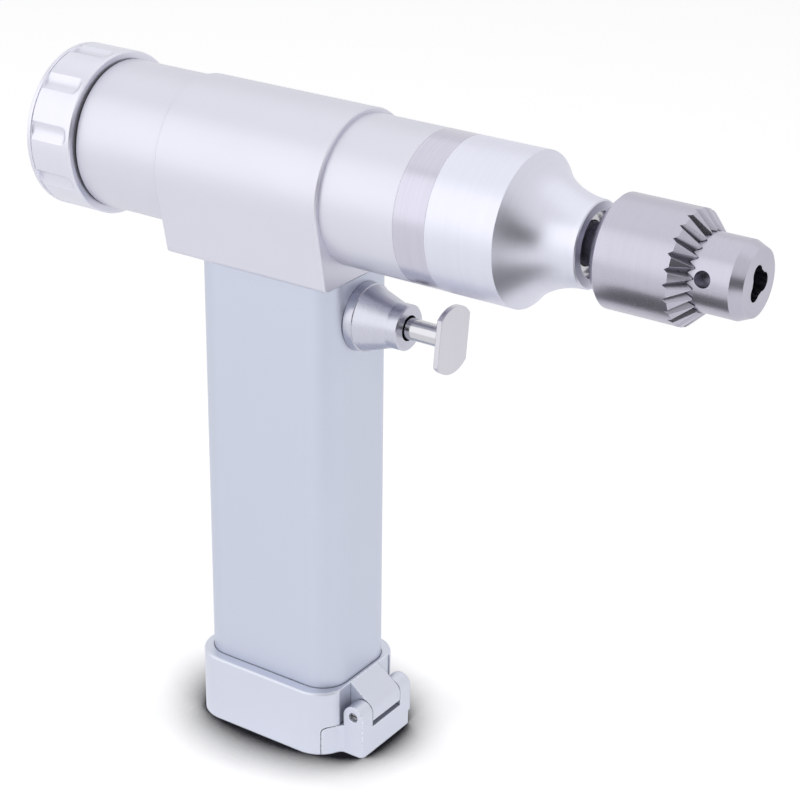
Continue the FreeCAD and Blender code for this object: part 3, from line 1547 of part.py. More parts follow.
def make_lid_parts():
    pin_end = S.block_half_width - S.pin_recess
    turned("hinge_pin", rectangle(-pin_end, pin_end, ZERO, S.hinge_pin_radius),
           role="YZ_Plane", x=S.hinge_x, z=S.hinge_height)
    gasket = new_body("lid_gasket", z=S.lid_plate)
    sketch = new_sketch(gasket, "XY_Plane")
    half_length = S.lid_pocket_half_length - S.lid_clearance * 2
    half_width = S.lid_pocket_half_width - S.lid_clearance * 2
    handle_ring(gasket, sketch, half_length, half_width, S.battery_corner, S.lid_gasket_width)
    pad(gasket, sketch, S.lid_gasket_height)
    cushion = new_body("lid_pad", z=S.lid_plate)
    sketch = new_sketch(cushion, "XY_Plane")
    draw_rounded(sketch, S.lid_pad_half_length, S.lid_pad_half_width, S.socket_wall)
    pad(cushion, sketch, S.lid_pad_height)
    tip = -S.lid_pocket_half_length + S.collar_seat_gap
    turned("catch_plunger", [
        (tip, 0),
        (tip, S.catch_radius / 2),
        (tip + S.catch_radius / 2, S.catch_radius),
        (tip + S.catch_length, S.catch_radius),
        (tip + S.catch_length, 0),
    ], z=S.catch_height)
    spring_back = tip + S.catch_length
    wall = S.catch_spring_wall
    turned("catch_spring", rectangle(spring_back, spring_back + S.catch_spring_length - wall,
                                     S.catch_radius - wall, S.catch_radius), z=S.catch_height)


def main():
    make_main_housing()
    make_barrels()
    make_rear_cap()
    make_cap_gasket()
    make_gears()
    make_mount_plate()
    make_nose()
    make_bearing("front_bearing", x_front_bearing - S.front_bearing_width, S.front_bearing_width,
                 S.front_bearing_bore, S.front_bearing_radius)
    make_bearing("rear_bearing", x_rear_bearing, S.rear_bearing_width,
                 S.rear_bearing_bore, S.rear_bearing_radius)
    make_circlip()
    make_spindle()
    make_chuck_body()
    make_chuck_sleeve()
    make_chuck_nut()
    make_jaws()
    make_motor_shell()
    make_magnets()
    make_rotor()
    make_brushes()
    make_control_board()
    make_handle()
    make_trigger_housing()
    make_trigger()
    make_trigger_spring()
    make_switch()
    make_battery()
    make_contacts()
    make_collar()
    make_lid()
    make_lid_parts()
    doc.recompute()
    check_and_write()


def check_and_write():
    for thing in doc.Objects:
        if "Invalid" in thing.State or "Error" in thing.State:
            raise ValueError(thing.Label + " failed: " + str(thing.State))
    os.makedirs("parts", exist_ok=True)
    for piece in pieces:
        shape = piece.Shape
        if shape.isNull() or not shape.isValid() or not shape.Solids:
            raise ValueError(piece.Label + " has no valid shape")
    for piece in pieces:
        piece.Shape.exportStep(os.path.join("parts", piece.Label + ".step"))
    print(str(len(pieces)) + " pieces written")


main()
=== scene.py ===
import json
import math

import bmesh
import bpy
from bpy.props import FloatProperty, FloatVectorProperty, PointerProperty
from mathutils import Matrix, Vector

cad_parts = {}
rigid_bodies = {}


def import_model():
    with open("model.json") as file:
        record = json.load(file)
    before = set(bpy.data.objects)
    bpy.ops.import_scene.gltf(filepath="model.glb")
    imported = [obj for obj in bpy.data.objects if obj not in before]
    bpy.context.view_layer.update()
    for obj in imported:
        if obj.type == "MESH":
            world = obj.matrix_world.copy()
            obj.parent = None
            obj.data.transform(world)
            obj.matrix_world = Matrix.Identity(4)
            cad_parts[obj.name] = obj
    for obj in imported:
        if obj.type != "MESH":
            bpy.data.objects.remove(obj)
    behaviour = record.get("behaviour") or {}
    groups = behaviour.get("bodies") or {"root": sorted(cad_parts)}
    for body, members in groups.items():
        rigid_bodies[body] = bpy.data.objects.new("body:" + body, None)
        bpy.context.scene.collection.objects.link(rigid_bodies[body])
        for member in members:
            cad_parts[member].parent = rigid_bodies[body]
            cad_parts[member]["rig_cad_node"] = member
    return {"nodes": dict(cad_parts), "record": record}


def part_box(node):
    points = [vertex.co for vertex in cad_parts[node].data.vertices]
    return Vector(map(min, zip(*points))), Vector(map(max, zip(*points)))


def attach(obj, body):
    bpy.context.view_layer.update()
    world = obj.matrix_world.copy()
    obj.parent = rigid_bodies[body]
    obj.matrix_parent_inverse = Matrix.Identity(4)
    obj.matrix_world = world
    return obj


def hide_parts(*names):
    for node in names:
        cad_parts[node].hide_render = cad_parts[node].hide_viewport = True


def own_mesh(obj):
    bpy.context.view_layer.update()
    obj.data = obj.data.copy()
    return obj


bl_info = {
    "name": "Surgical Drill",
    "version": (1, 0, 0),
    "blender": (4, 5, 0),
    "location": "View3D > Sidebar > Surgical Drill",
    "description": "Finishes a battery surgical drill around its packed frame, and lights it",
    "category": "Add Mesh",
}

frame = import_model()
nodes = frame["nodes"]


def frame_low(node):
    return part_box(node)[0]


def frame_high(node):
    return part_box(node)[1]


def middle_height(node):
    return (frame_low(node).z + frame_high(node).z) / 2


BARREL_HEIGHT = middle_height("ring_gear")
TRIGGER_HEIGHT = middle_height("trigger_guide")
MILLIMETRE = 0.001
MERGE_DISTANCE = 0.0001 * MILLIMETRE
FLAT_DISTANCE = 0.001 * MILLIMETRE
SPRING_RADIUS = {"trigger_spring": 2.6 * MILLIMETRE, "catch_spring": 1.0 * MILLIMETRE}
SPRING_TURNS = {"trigger_spring": 8, "catch_spring": 9}
DRILL_MIDDLE = (0.0, 0.0, 0.12)
ALONG = Vector((1.0, 0.0, 0.0))
ACROSS = Vector((0.0, 1.0, 0.0))
UPRIGHT = Vector((0.0, 0.0, 1.0))


# Settings

class FinishSettings(bpy.types.PropertyGroup):
    housing_color: FloatVectorProperty(
        name="Housing", description="Satin silver of the barrel's shells",
        subtype="COLOR", min=0, max=1, default=(0.70, 0.70, 0.785))
    handle_color: FloatVectorProperty(
        name="Grip", description="Cooler satin of the grip",
        subtype="COLOR", min=0, max=1, default=(0.61, 0.645, 0.755))
    base_color: FloatVectorProperty(
        name="Base", description="Satin of the base collar and the battery lid",
        subtype="COLOR", min=0, max=1, default=(0.68, 0.705, 0.80))
    nose_color: FloatVectorProperty(
        name="Nose", description="Finely turned aluminium of the nose",
        subtype="COLOR", min=0, max=1, default=(0.66, 0.665, 0.755))
    steel_color: FloatVectorProperty(
        name="Steel", description="Ground stainless steel of the chuck",
        subtype="COLOR", min=0, max=1, default=(0.46, 0.45, 0.525))
    polished_color: FloatVectorProperty(
        name="Polished steel", description="Polished shafts and pins",
        subtype="COLOR", min=0, max=1, default=(0.55, 0.55, 0.58))


class DetailSettings(bpy.types.PropertyGroup):
    thread_pitch: FloatProperty(
        name="Thread pitch", description="Step of the cap's thread along the neck",
        subtype="DISTANCE", default=1.5 * MILLIMETRE)
    thread_height: FloatProperty(
        name="Thread height", description="How far the thread stands out of the neck",
        subtype="DISTANCE", default=0.24 * MILLIMETRE)
    neck_radius: FloatProperty(
        name="Neck radius", description="Radius of the neck that the thread is wound on",
        subtype="DISTANCE", default=21.6 * MILLIMETRE)
    slot_width: FloatProperty(
        name="Slot width", description="Width of the driver slots in the hinge pin and the screws",
        subtype="DISTANCE", default=0.5 * MILLIMETRE)
    slot_depth: FloatProperty(
        name="Slot depth", description="Depth of those driver slots",
        subtype="DISTANCE", default=0.4 * MILLIMETRE)
    trigger_wire: FloatProperty(
        name="Trigger spring wire", description="Half the thickness of the trigger spring's wire",
        subtype="DISTANCE", default=0.27 * MILLIMETRE)
    trigger_travel: FloatProperty(
        name="Trigger travel", description="How far the trigger shortens its spring",
        subtype="DISTANCE", default=8.0 * MILLIMETRE)
    catch_wire: FloatProperty(
        name="Catch spring wire", description="Half the thickness of the catch spring's wire",
        subtype="DISTANCE", default=0.12 * MILLIMETRE)
    catch_travel: FloatProperty(
        name="Catch travel", description="How far the catch shortens its spring",
        subtype="DISTANCE", default=0.8 * MILLIMETRE)
    screw_radius: FloatProperty(
        name="Screw radius", description="Radius of the screw heads under the battery",
        subtype="DISTANCE", default=1.5 * MILLIMETRE)
    screw_height: FloatProperty(
        name="Screw height", description="How far the screw heads stand below the battery",
        subtype="DISTANCE", default=0.7 * MILLIMETRE)
    screw_reach_x: FloatProperty(
        name="Screw reach lengthways",
        description="Distance of the battery's screws from its middle, lengthways",
        subtype="DISTANCE", default=17.5 * MILLIMETRE)
    screw_reach_y: FloatProperty(
        name="Screw reach sideways",
        description="Distance of the battery's screws from its middle, sideways",
        subtype="DISTANCE", default=10.5 * MILLIMETRE)
    chip_side: FloatProperty(
        name="Chip side", description="Side of the largest chip on the control board",
        subtype="DISTANCE", default=9.0 * MILLIMETRE)


class StageSettings(bpy.types.PropertyGroup):
    camera_place: FloatVectorProperty(
        name="Camera", description="Where the camera stands",
        subtype="TRANSLATION", default=(0.366374, -0.482694, 0.387386))
    camera_azimuth: FloatProperty(
        name="Azimuth", description="Turn of the camera about the upright axis",
        subtype="ANGLE", default=math.radians(34.143))
    camera_elevation: FloatProperty(
        name="Elevation", description="Tilt of the camera above the horizon",
        subtype="ANGLE", default=math.radians(24.522))
    camera_roll: FloatProperty(
        name="Roll", description="Lean of the camera about its own line of sight",
        subtype="ANGLE", default=math.radians(0.726))
    lens: FloatProperty(
        name="Lens", description="Focal length in millimetres on a 36 mm sensor",
        subtype="DISTANCE_CAMERA", default=96.95)
    floor_size: FloatProperty(
        name="Floor", description="Side of the square floor",
        subtype="DISTANCE", default=8.0)
    key_power: FloatProperty(
        name="Key light", description="Power of the large soft light at the front left",
        unit="POWER", default=7.5)
    fill_power: FloatProperty(
        name="Fill light", description="Power of the soft light at the front right",
        unit="POWER", default=5.0)
    top_power: FloatProperty(
        name="Top light", description="Power of the soft light overhead",
        unit="POWER", default=1.2)
    room_level: FloatProperty(
        name="Room", description="Brightness of the room around the set",
        default=0.4, min=0)


# Node helpers

def fill_sockets(tree, node, inputs):
    """Links or sets a node's inputs, given by name or number."""
    for name, value in inputs.items():
        if isinstance(value, bpy.types.NodeSocket):
            tree.links.new(value, node.inputs[name])
        else:
            node.inputs[name].default_value = value


def add_node(tree, kind, inputs=None, **settings):
    made = tree.nodes.new(kind)
    for name, value in settings.items():
        setattr(made, name, value)
    fill_sockets(tree, made, inputs or {})
    return made


def calculate(tree, operation, first, second=0.0):
    made = add_node(tree, "ShaderNodeMath", {0: first, 1: second}, operation=operation)
    return made.outputs[0]


def mix_colors(tree, factor, first, second):
    """A blend of two colours. The Mix node's colour sockets are its inputs 6 and 7 and its output 2."""
    made = add_node(tree, "ShaderNodeMix", {0: factor, 6: first, 7: second}, data_type="RGBA")
    return made.outputs[2]


def new_group(name, inputs, outputs):
    """A shader group with sockets given as (name, kind) pairs, its tree and its two ends."""
    tree = bpy.data.node_groups.new(name, "ShaderNodeTree")
    for socket, kind in inputs:
        tree.interface.new_socket(name=socket, in_out="INPUT", socket_type="NodeSocket" + kind)
    for socket, kind in outputs:
        tree.interface.new_socket(name=socket, in_out="OUTPUT", socket_type="NodeSocket" + kind)
    return tree, tree.nodes.new("NodeGroupInput"), tree.nodes.new("NodeGroupOutput")


def turned_position_group():
    """Object position as distance along X, distance from an axis along X, and the way round it."""
    way_round_scale = 0.0004
    tree, start, end = new_group("Turned position", [("Axis height", "Float")], [("Position", "Vector")])
    place = add_node(tree, "ShaderNodeTexCoord")
    split = add_node(tree, "ShaderNodeSeparateXYZ", {0: place.outputs["Object"]})
    rise = calculate(tree, "SUBTRACT", split.outputs["Z"], start.outputs["Axis height"])
    across = calculate(tree, "MULTIPLY", split.outputs["Y"], split.outputs["Y"])
    squared = calculate(tree, "ADD", across, calculate(tree, "MULTIPLY", rise, rise))
    radius = calculate(tree, "SQRT", squared)
    angle = calculate(tree, "ARCTAN2", split.outputs["Y"], rise)
    joined = add_node(tree, "ShaderNodeCombineXYZ", {
        "X": split.outputs["X"], "Y": radius, "Z": calculate(tree, "MULTIPLY", angle, way_round_scale)})
    tree.links.new(joined.outputs[0], end.inputs["Position"])
    return tree


def grain_group():
    """Fine marks with a slower change of tone over them."""
    fine_share = 0.35
    tree, start, end = new_group(
        "Grain", [("Position", "Vector"), ("Fine scale", "Float"), ("Broad scale", "Float")],
        [("Height", "Float"), ("Tone", "Float")])
    fine = add_node(tree, "ShaderNodeTexNoise", {
        "Vector": start.outputs["Position"], "Scale": start.outputs["Fine scale"],
        "Detail": 3.0, "Roughness": 0.65})
    broad = add_node(tree, "ShaderNodeTexNoise", {
        "Vector": start.outputs["Position"], "Scale": start.outputs["Broad scale"],
        "Detail": 4.0, "Roughness": 0.6})
    tone = calculate(tree, "ADD", calculate(tree, "MULTIPLY", fine.outputs[0], fine_share),
                     calculate(tree, "MULTIPLY", broad.outputs[0], 1 - fine_share))
    tree.links.new(fine.outputs[0], end.inputs["Height"])
    tree.links.new(tone, end.inputs["Tone"])
    return tree


def rubbed_edge_and_highlight_group():
    """A mask that is 1 along outer edges, broken up by noise, for rubbed wear and painted edge highlights,
    and the normal of a softened edge.
    """
    tree, start, end = new_group(
        "Rubbed edges and painted highlights", [("Width", "Float")], [("Mask", "Float"), ("Normal", "Vector")])
    soft = add_node(tree, "ShaderNodeBevel", {"Radius": start.outputs["Width"]}, samples=6)
    facing = add_node(tree, "ShaderNodeNewGeometry")
    match = add_node(tree, "ShaderNodeVectorMath",
                     {0: soft.outputs[0], 1: facing.outputs["Normal"]}, operation="DOT_PRODUCT")
    spread = add_node(tree, "ShaderNodeMapRange", {
        "Value": match.outputs["Value"], "From Min": 0.995, "From Max": 0.93, "To Min": 0.0, "To Max": 1.0})
    place = add_node(tree, "ShaderNodeTexCoord")
    patches = add_node(tree, "ShaderNodeTexNoise", {
        "Vector": place.outputs["Object"], "Scale": 900.0, "Detail": 3.0})
    broken = add_node(tree, "ShaderNodeMapRange", {
        "Value": patches.outputs[0], "From Min": 0.3, "From Max": 0.6, "To Min": 0.55, "To Max": 1.0})
    mask = calculate(tree, "MULTIPLY", spread.outputs[0], broken.outputs[0])
    tree.links.new(mask, end.inputs["Mask"])
    tree.links.new(soft.outputs[0], end.inputs["Normal"])
    return tree


def handling_group():
    """Slow smudges that change how shiny a handled surface is."""
    tree, start, end = new_group("Handling", [("Amount", "Float")], [("Change", "Float")])
    place = add_node(tree, "ShaderNodeTexCoord")
    cloud = add_node(tree, "ShaderNodeTexNoise", {
        "Vector": place.outputs["Object"], "Scale": 55.0, "Detail": 5.0, "Roughness": 0.55,
        "Distortion": 0.4})
    centred = calculate(tree, "SUBTRACT", cloud.outputs[0], 0.5)
    tree.links.new(calculate(tree, "MULTIPLY", centred, start.outputs["Amount"]), end.inputs["Change"])
    return tree


def painted_crevice_shade_group():
    """A mask of painted shade that grows in grooves, holes and narrow gaps, where less light reaches."""
    tree, start, end = new_group(
        "Painted crevice shade", [("Reach", "Float"), ("Amount", "Float")], [("Mask", "Float")])
    # Painted shade: the less open a point is, the darker its colour is painted.
    openness = add_node(tree, "ShaderNodeAmbientOcclusion", {"Distance": start.outputs["Reach"]}, samples=6)
    closed = add_node(tree, "ShaderNodeMapRange", {
        "Value": openness.outputs["AO"], "From Min": 0.8, "From Max": 0.25, "To Min": 0.0, "To Max": 1.0})
    mask = calculate(tree, "MULTIPLY", closed.outputs[0], start.outputs["Amount"])
    tree.links.new(mask, end.inputs["Mask"])
    return tree


groups = {}


def place_group(tree, key, inputs):
    made = tree.nodes.new("ShaderNodeGroup")
    made.node_tree = groups[key]
    fill_sockets(tree, made, inputs)
    return made


# Materials

def shade(color, share):
    return tuple(min(1.0, channel * share) for channel in color) + (1.0,)


def finish_material(name, color, metallic=1.0, roughness=0.35, turned=None, fine=4000.0, broad=120.0,
                    depth=0.004, contrast=0.06, smudge=0.12, edge=1.12, edge_width=0.25, stretch=None,
                    anisotropy=0.0, coat=0.0, sheen=0.0, painted_shade_amount=0.0, reach=2.5):
    """One finish: a colour with grain, handling marks, edges lightened as rubbed wear and painted highlight,
    and, if asked, painted shade in hollows and gaps.
    """
    # Share of the colour that hollows and gaps are painted down to, as painted shade.
    painted_shade_tone = 0.08
    edge_polish = 0.3
    material = bpy.data.materials.new(name)
    material.use_nodes = True
    tree = material.node_tree
    shader = tree.nodes["Principled BSDF"]
    if turned is not None:
        position = place_group(tree, "turned", {"Axis height": turned}).outputs["Position"]
    else:
        place = add_node(tree, "ShaderNodeTexCoord")
        position = add_node(tree, "ShaderNodeMapping", {
            "Vector": place.outputs["Object"], "Scale": stretch or (1.0, 1.0, 1.0)}).outputs[0]
    grain = place_group(tree, "grain", {"Position": position, "Fine scale": fine, "Broad scale": broad})
    edges = place_group(tree, "edges", {"Width": edge_width * MILLIMETRE})
    smudges = place_group(tree, "handling", {"Amount": smudge})
    tones = mix_colors(tree, grain.outputs["Tone"], shade(color, 1 - contrast), shade(color, 1 + contrast))
    # Edges are lightened towards a brighter copy of the colour: partly rubbed wear, partly a painted
    # highlight.
    worn_and_painted_light = mix_colors(tree, edges.outputs["Mask"], tones, shade(color, edge))
    # Painted shade: hollows and narrow gaps are darkened towards a near-black copy of the colour.
    if painted_shade_amount:
        painted_shade_node = place_group(tree, "painted_crevice_shade", {"Reach": reach * MILLIMETRE, "Amount": painted_shade_amount})
        worn_and_painted_light = mix_colors(tree, painted_shade_node.outputs["Mask"], worn_and_painted_light, shade(color, painted_shade_tone))
    tree.links.new(worn_and_painted_light, shader.inputs["Base Color"])
    dull = calculate(tree, "ADD", smudges.outputs["Change"], roughness)
    polish = calculate(tree, "MULTIPLY", edges.outputs["Mask"], roughness * edge_polish)
    tree.links.new(calculate(tree, "SUBTRACT", dull, polish), shader.inputs["Roughness"])
    bump = add_node(tree, "ShaderNodeBump", {
        "Height": grain.outputs["Height"], "Normal": edges.outputs["Normal"],
        "Strength": 1.0, "Distance": depth * MILLIMETRE})
    tree.links.new(bump.outputs[0], shader.inputs["Normal"])
    shader.inputs["Metallic"].default_value = metallic
    shader.inputs["Coat Weight"].default_value = coat
    shader.inputs["Sheen Weight"].default_value = sheen
    if anisotropy:
        shader.inputs["Anisotropic"].default_value = anisotropy
        direction = add_node(tree, "ShaderNodeTangent", direction_type="RADIAL", axis="X")
        tree.links.new(direction.outputs[0], shader.inputs["Tangent"])
    return material


def make_finishes(finish):
    """Every material of the drill, by the record's material slot."""
    housing = tuple(finish.housing_color)
    handle = tuple(finish.handle_color)
    steel = tuple(finish.steel_color)
    # The amounts of painted shade darken hollows and gaps, and edge values above 1 lighten edges as a painted
    # highlight on top of rubbed wear.
    return {
        "housing_satin": finish_material("Satin silver housing", housing, 0.7, 0.42, fine=5200, broad=60,
                                         depth=0.003, contrast=0.02, smudge=0.08),
        "tube_satin": finish_material("Satin grip", handle, 0.7, 0.4, fine=5200, broad=40,
                                      stretch=(1.0, 1.0, 0.25), depth=0.003, contrast=0.025, smudge=0.1,
                                      painted_shade_amount=0.8, reach=0.8),
        "base_satin": finish_material("Satin base", tuple(finish.base_color), 0.7, 0.36, fine=5200, broad=60,
                                      depth=0.003, contrast=0.02, edge=1.25, edge_width=0.5,
                                      painted_shade_amount=0.9, reach=0.8),
        "cap_metal": finish_material("Satin cap", housing, 0.85, 0.34, turned=BARREL_HEIGHT, fine=5000,
                                     broad=300, depth=0.002, contrast=0.03, edge=1.25, edge_width=0.4),
        "nose_metal": finish_material("Turned nose", tuple(finish.nose_color), 1.0, 0.36,
                                      turned=BARREL_HEIGHT, fine=6000, broad=700, depth=0.002,
                                      contrast=0.06, anisotropy=0.45),
        "trigger_metal": finish_material("Turned trigger housing", (0.53, 0.535, 0.61), 1.0, 0.28,
                                         turned=TRIGGER_HEIGHT, fine=6000, broad=900, depth=0.002,
                                         contrast=0.05, anisotropy=0.5),
        "ring_steel": finish_material("Polished ring", shade(steel, 1.15)[:3], 1.0, 0.2, turned=BARREL_HEIGHT,
                                      fine=7000, broad=1500, depth=0.003, contrast=0.1, anisotropy=0.75),
        "chuck_steel": finish_material("Ground chuck steel", steel, 1.0, 0.28, turned=BARREL_HEIGHT,
                                       fine=8000, broad=2500, depth=0.003, contrast=0.08,
                                       anisotropy=0.4, edge=1.3, edge_width=0.12, painted_shade_amount=0.75, reach=3.0),
        "jaw_steel": finish_material("Jaw steel", (0.35, 0.35, 0.37), 1.0, 0.3, fine=5000, contrast=0.12,
                                     edge_width=0.15, painted_shade_amount=0.95, reach=1.2),
        "shaft_steel": finish_material("Polished shaft", tuple(finish.polished_color), 1.0, 0.12, fine=6000,
                                       broad=500, stretch=(1.0, 0.05, 0.05), depth=0.001, contrast=0.04,
                                       edge_width=0.12),
        "plate_steel": finish_material("Satin plate", (0.60, 0.59, 0.64), 1.0, 0.3, fine=5000, broad=400,
                                       stretch=(1.0, 1.0, 0.08), depth=0.002, contrast=0.05, edge_width=0.2),
        "gear_steel": finish_material("Machined steel", (0.50, 0.50, 0.52), 1.0, 0.3, turned=BARREL_HEIGHT,
                                      fine=7000, broad=1500, contrast=0.1, edge_width=0.12),
        "bearing_steel": finish_material("Bearing steel", (0.56, 0.56, 0.58), 1.0, 0.15, turned=BARREL_HEIGHT,
                                         fine=7000, broad=2000, contrast=0.05, edge_width=0.15),
        "spring_steel": finish_material("Spring wire", (0.55, 0.55, 0.57), 1.0, 0.22, fine=6000,
                                        contrast=0.08, edge_width=0.1),
        "zinc_steel": finish_material("Zinc plated steel", (0.58, 0.60, 0.63), 1.0, 0.35, fine=900,
                                      broad=200, contrast=0.12, depth=0.002),
        "iron": finish_material("Laminated iron", (0.16, 0.16, 0.17), 1.0, 0.4, fine=2500,
                                stretch=(1.0, 0.02, 0.02), contrast=0.3, depth=0.02, edge_width=0.1),
        "ferrite": finish_material("Ferrite", (0.055, 0.055, 0.06), 0.0, 0.6, fine=2500, contrast=0.25),
        "copper": finish_material("Enamelled copper", (0.55, 0.20, 0.08), 0.8, 0.3, fine=1800,
                                  stretch=(1.0, 0.2, 0.2), contrast=0.35, depth=0.08, coat=0.4),
        "commutator_copper": finish_material("Commutator copper", (0.72, 0.36, 0.20), 1.0, 0.25, fine=3000,
                                             contrast=0.15),
        "bronze": finish_material("Sintered bronze", (0.52, 0.36, 0.16), 1.0, 0.45, fine=4500,
                                  contrast=0.2, depth=0.01),
        "gold": finish_material("Gold plating", (0.86, 0.60, 0.22), 1.0, 0.18, fine=5000, contrast=0.06),
        "carbon": finish_material("Pressed carbon", (0.035, 0.035, 0.038), 0.0, 0.55, fine=4000,
                                  contrast=0.3),
        "dark_plastic": finish_material("Black plastic", (0.03, 0.03, 0.033), 0.0, 0.5, fine=2800,
                                        contrast=0.2, depth=0.012, edge=1.6),
        "natural_plastic": finish_material("Natural plastic", (0.62, 0.59, 0.50), 0.0, 0.5, fine=2500,
                                           contrast=0.05, depth=0.01, edge=1.1),
        "board_green": finish_material("Circuit board", (0.02, 0.13, 0.06), 0.0, 0.3, fine=1500,
                                       contrast=0.2, depth=0.004, coat=0.5),
        "cell_wrap": finish_material("Cell wrap", (0.03, 0.13, 0.30), 0.0, 0.3, fine=1500, contrast=0.08,
                                     coat=0.3),
        "seal_rubber": finish_material("Black rubber", (0.018, 0.018, 0.018), 0.0, 0.6, fine=3000,
                                       contrast=0.3, depth=0.01, sheen=0.1, edge=1.8),
        "foam": finish_material("Closed cell foam", (0.05, 0.05, 0.055), 0.0, 0.85, fine=2200,
                                contrast=0.35, depth=0.06, sheen=0.2),
    }


finishes = {}


def wear_finish(piece, slot):
    piece.data.materials.clear()
    piece.data.materials.append(finishes[slot])


class DRILL_OT_finish_frame(bpy.types.Operator):
    """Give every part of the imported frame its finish"""

    bl_idname = "drill.finish_frame"
    bl_label = "Finish Frame Parts"

    def execute(self, context):
        groups["turned"] = turned_position_group()
        groups["grain"] = grain_group()
        groups["edges"] = rubbed_edge_and_highlight_group()
        groups["handling"] = handling_group()
        groups["painted_crevice_shade"] = painted_crevice_shade_group()
        finishes.update(make_finishes(context.scene.drill_finish))
        for part in frame["record"]["subparts"]:
            wear_finish(nodes[part["node"]], part["material_slot"])
        return {"FINISHED"}


# Modelled details

def finish_piece(name, shape, body, slot, replaced=(), sharp=35.0):
    """Makes a modelled shape an object that rides on a body and wears a finish."""
    bmesh.ops.remove_doubles(shape, verts=shape.verts, dist=MERGE_DISTANCE)
    bmesh.ops.recalc_face_normals(shape, faces=shape.faces)
    for face in shape.faces:
        face.smooth = True
    mesh = bpy.data.meshes.new(name)
    shape.to_mesh(mesh)
    shape.free()
    mesh.set_sharp_from_angle(angle=math.radians(sharp))
    piece = bpy.data.objects.new(name, mesh)
    bpy.context.scene.collection.objects.link(piece)
    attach(piece, body)
    if replaced:
        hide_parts(*replaced)
    wear_finish(piece, slot)
    return piece


def round_edges(shape, edges, width):
    bmesh.ops.bevel(shape, geom=edges, offset=width, offset_type="OFFSET", affect="EDGES",
                    segments=2, profile=0.5, material=-1)


def add_block(shape, centre, size, edge):
    """A block with rounded edges."""
    made = bmesh.ops.create_cube(shape, size=1.0)["verts"]
    bmesh.ops.scale(shape, vec=size, verts=made)
    bmesh.ops.translate(shape, vec=centre, verts=made)
    round_edges(shape, list({line for vert in made for line in vert.link_edges}), edge)


def add_rod(shape, low, high, radius, sides=40):
    """A round rod from one point to another."""
    length = (high - low).length
    turn = UPRIGHT.rotation_difference(high - low).to_matrix().to_4x4()
    bmesh.ops.create_cone(shape, cap_ends=True, cap_tris=False, segments=sides, radius1=radius,
                          radius2=radius, depth=length, matrix=Matrix.Translation((low + high) / 2) @ turn)


def faces_at(shape, end, outward, radius):
    """The faces of a rod's flat end."""
    return [face for face in shape.faces
            if all(abs((vert.co - end).dot(outward)) < FLAT_DISTANCE
                   and (vert.co - end).length < radius * 1.1 for vert in face.verts)]


def slot_end(shape, end, outward, across, radius, detail):
    """Stands the two sides of a rod's end out from the floor of a driver slot."""
    for side in (-0.5, 0.5):
        faces = faces_at(shape, end, outward, radius)
        lines = list({line for face in faces for line in face.edges})
        points = list({vert for face in faces for vert in face.verts})
        bmesh.ops.bisect_plane(shape, geom=faces + lines + points, dist=MERGE_DISTANCE,
                               plane_co=end + across * side * detail.slot_width, plane_no=across)
    halves = [face for face in faces_at(shape, end, outward, radius)
              if abs((face.calc_center_median() - end).dot(across)) > detail.slot_width / 2]
    raised = bmesh.ops.extrude_face_region(shape, geom=halves)["geom"]
    points = [part for part in raised if isinstance(part, bmesh.types.BMVert)]
    bmesh.ops.translate(shape, vec=outward * detail.slot_depth, verts=points)
    tops = [part for part in raised if isinstance(part, bmesh.types.BMFace)]
    round_edges(shape, list({line for face in tops for line in face.edges}), detail.slot_depth / 4)


class DRILL_OT_wind_neck_thread(bpy.types.Operator):
    """Wind the thread for the rear cap round the barrel's neck"""

    bl_idname = "drill.wind_neck_thread"
    bl_label = "Wind Neck Thread"

    def execute(self, context):
        detail = context.scene.drill_detail
        pitch = detail.thread_pitch
        steps = 48
        sink = 0.05 * MILLIMETRE
        back = frame_low("rear_barrel").x + pitch / 2
        front = frame_low("cap_gasket").x - pitch / 2
        turns = math.floor((front - back) / pitch) - 1
        foot = BARREL_HEIGHT + detail.neck_radius - sink
        crest = BARREL_HEIGHT + detail.neck_radius + detail.thread_height
        outline = ((0.0, foot), (0.38, crest), (0.5, crest), (0.88, foot))
        shape = bmesh.new()
        section = shape.faces.new([
            shape.verts.new((back + pitch * share, 0.0, height)) for share, height in outline])
        bmesh.ops.spin(shape, geom=[section], cent=(0.0, 0.0, BARREL_HEIGHT), axis=ALONG,
                       dvec=ALONG * (pitch / steps), angle=math.tau * turns, steps=steps * turns,
                       use_merge=False, use_duplicate=False)
        open_edges = [line for line in shape.edges if line.is_boundary]
        bmesh.ops.holes_fill(shape, edges=open_edges, sides=4)
        finish_piece("neck_thread", shape, "frame", "housing_satin", sharp=25.0)
        return {"FINISHED"}


class DRILL_OT_slot_hinge_pin(bpy.types.Operator):
    """Turn the hinge pin with a driver slot across each end"""

    bl_idname = "drill.slot_hinge_pin"
    bl_label = "Slot Hinge Pin"

    def execute(self, context):
        detail = context.scene.drill_detail
        low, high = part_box("hinge_pin")
        middle = (low + high) / 2
        radius = (high.z - low.z) / 2
        reach = ACROSS * ((high.y - low.y) / 2 - detail.slot_depth)
        shape = bmesh.new()
        add_rod(shape, middle - reach, middle + reach, radius)
        slot_end(shape, middle - reach, -ACROSS, UPRIGHT, radius, detail)
        slot_end(shape, middle + reach, ACROSS, UPRIGHT, radius, detail)
        finish_piece("slotted_hinge_pin", shape, "lid", "jaw_steel", replaced=("hinge_pin",))
        return {"FINISHED"}


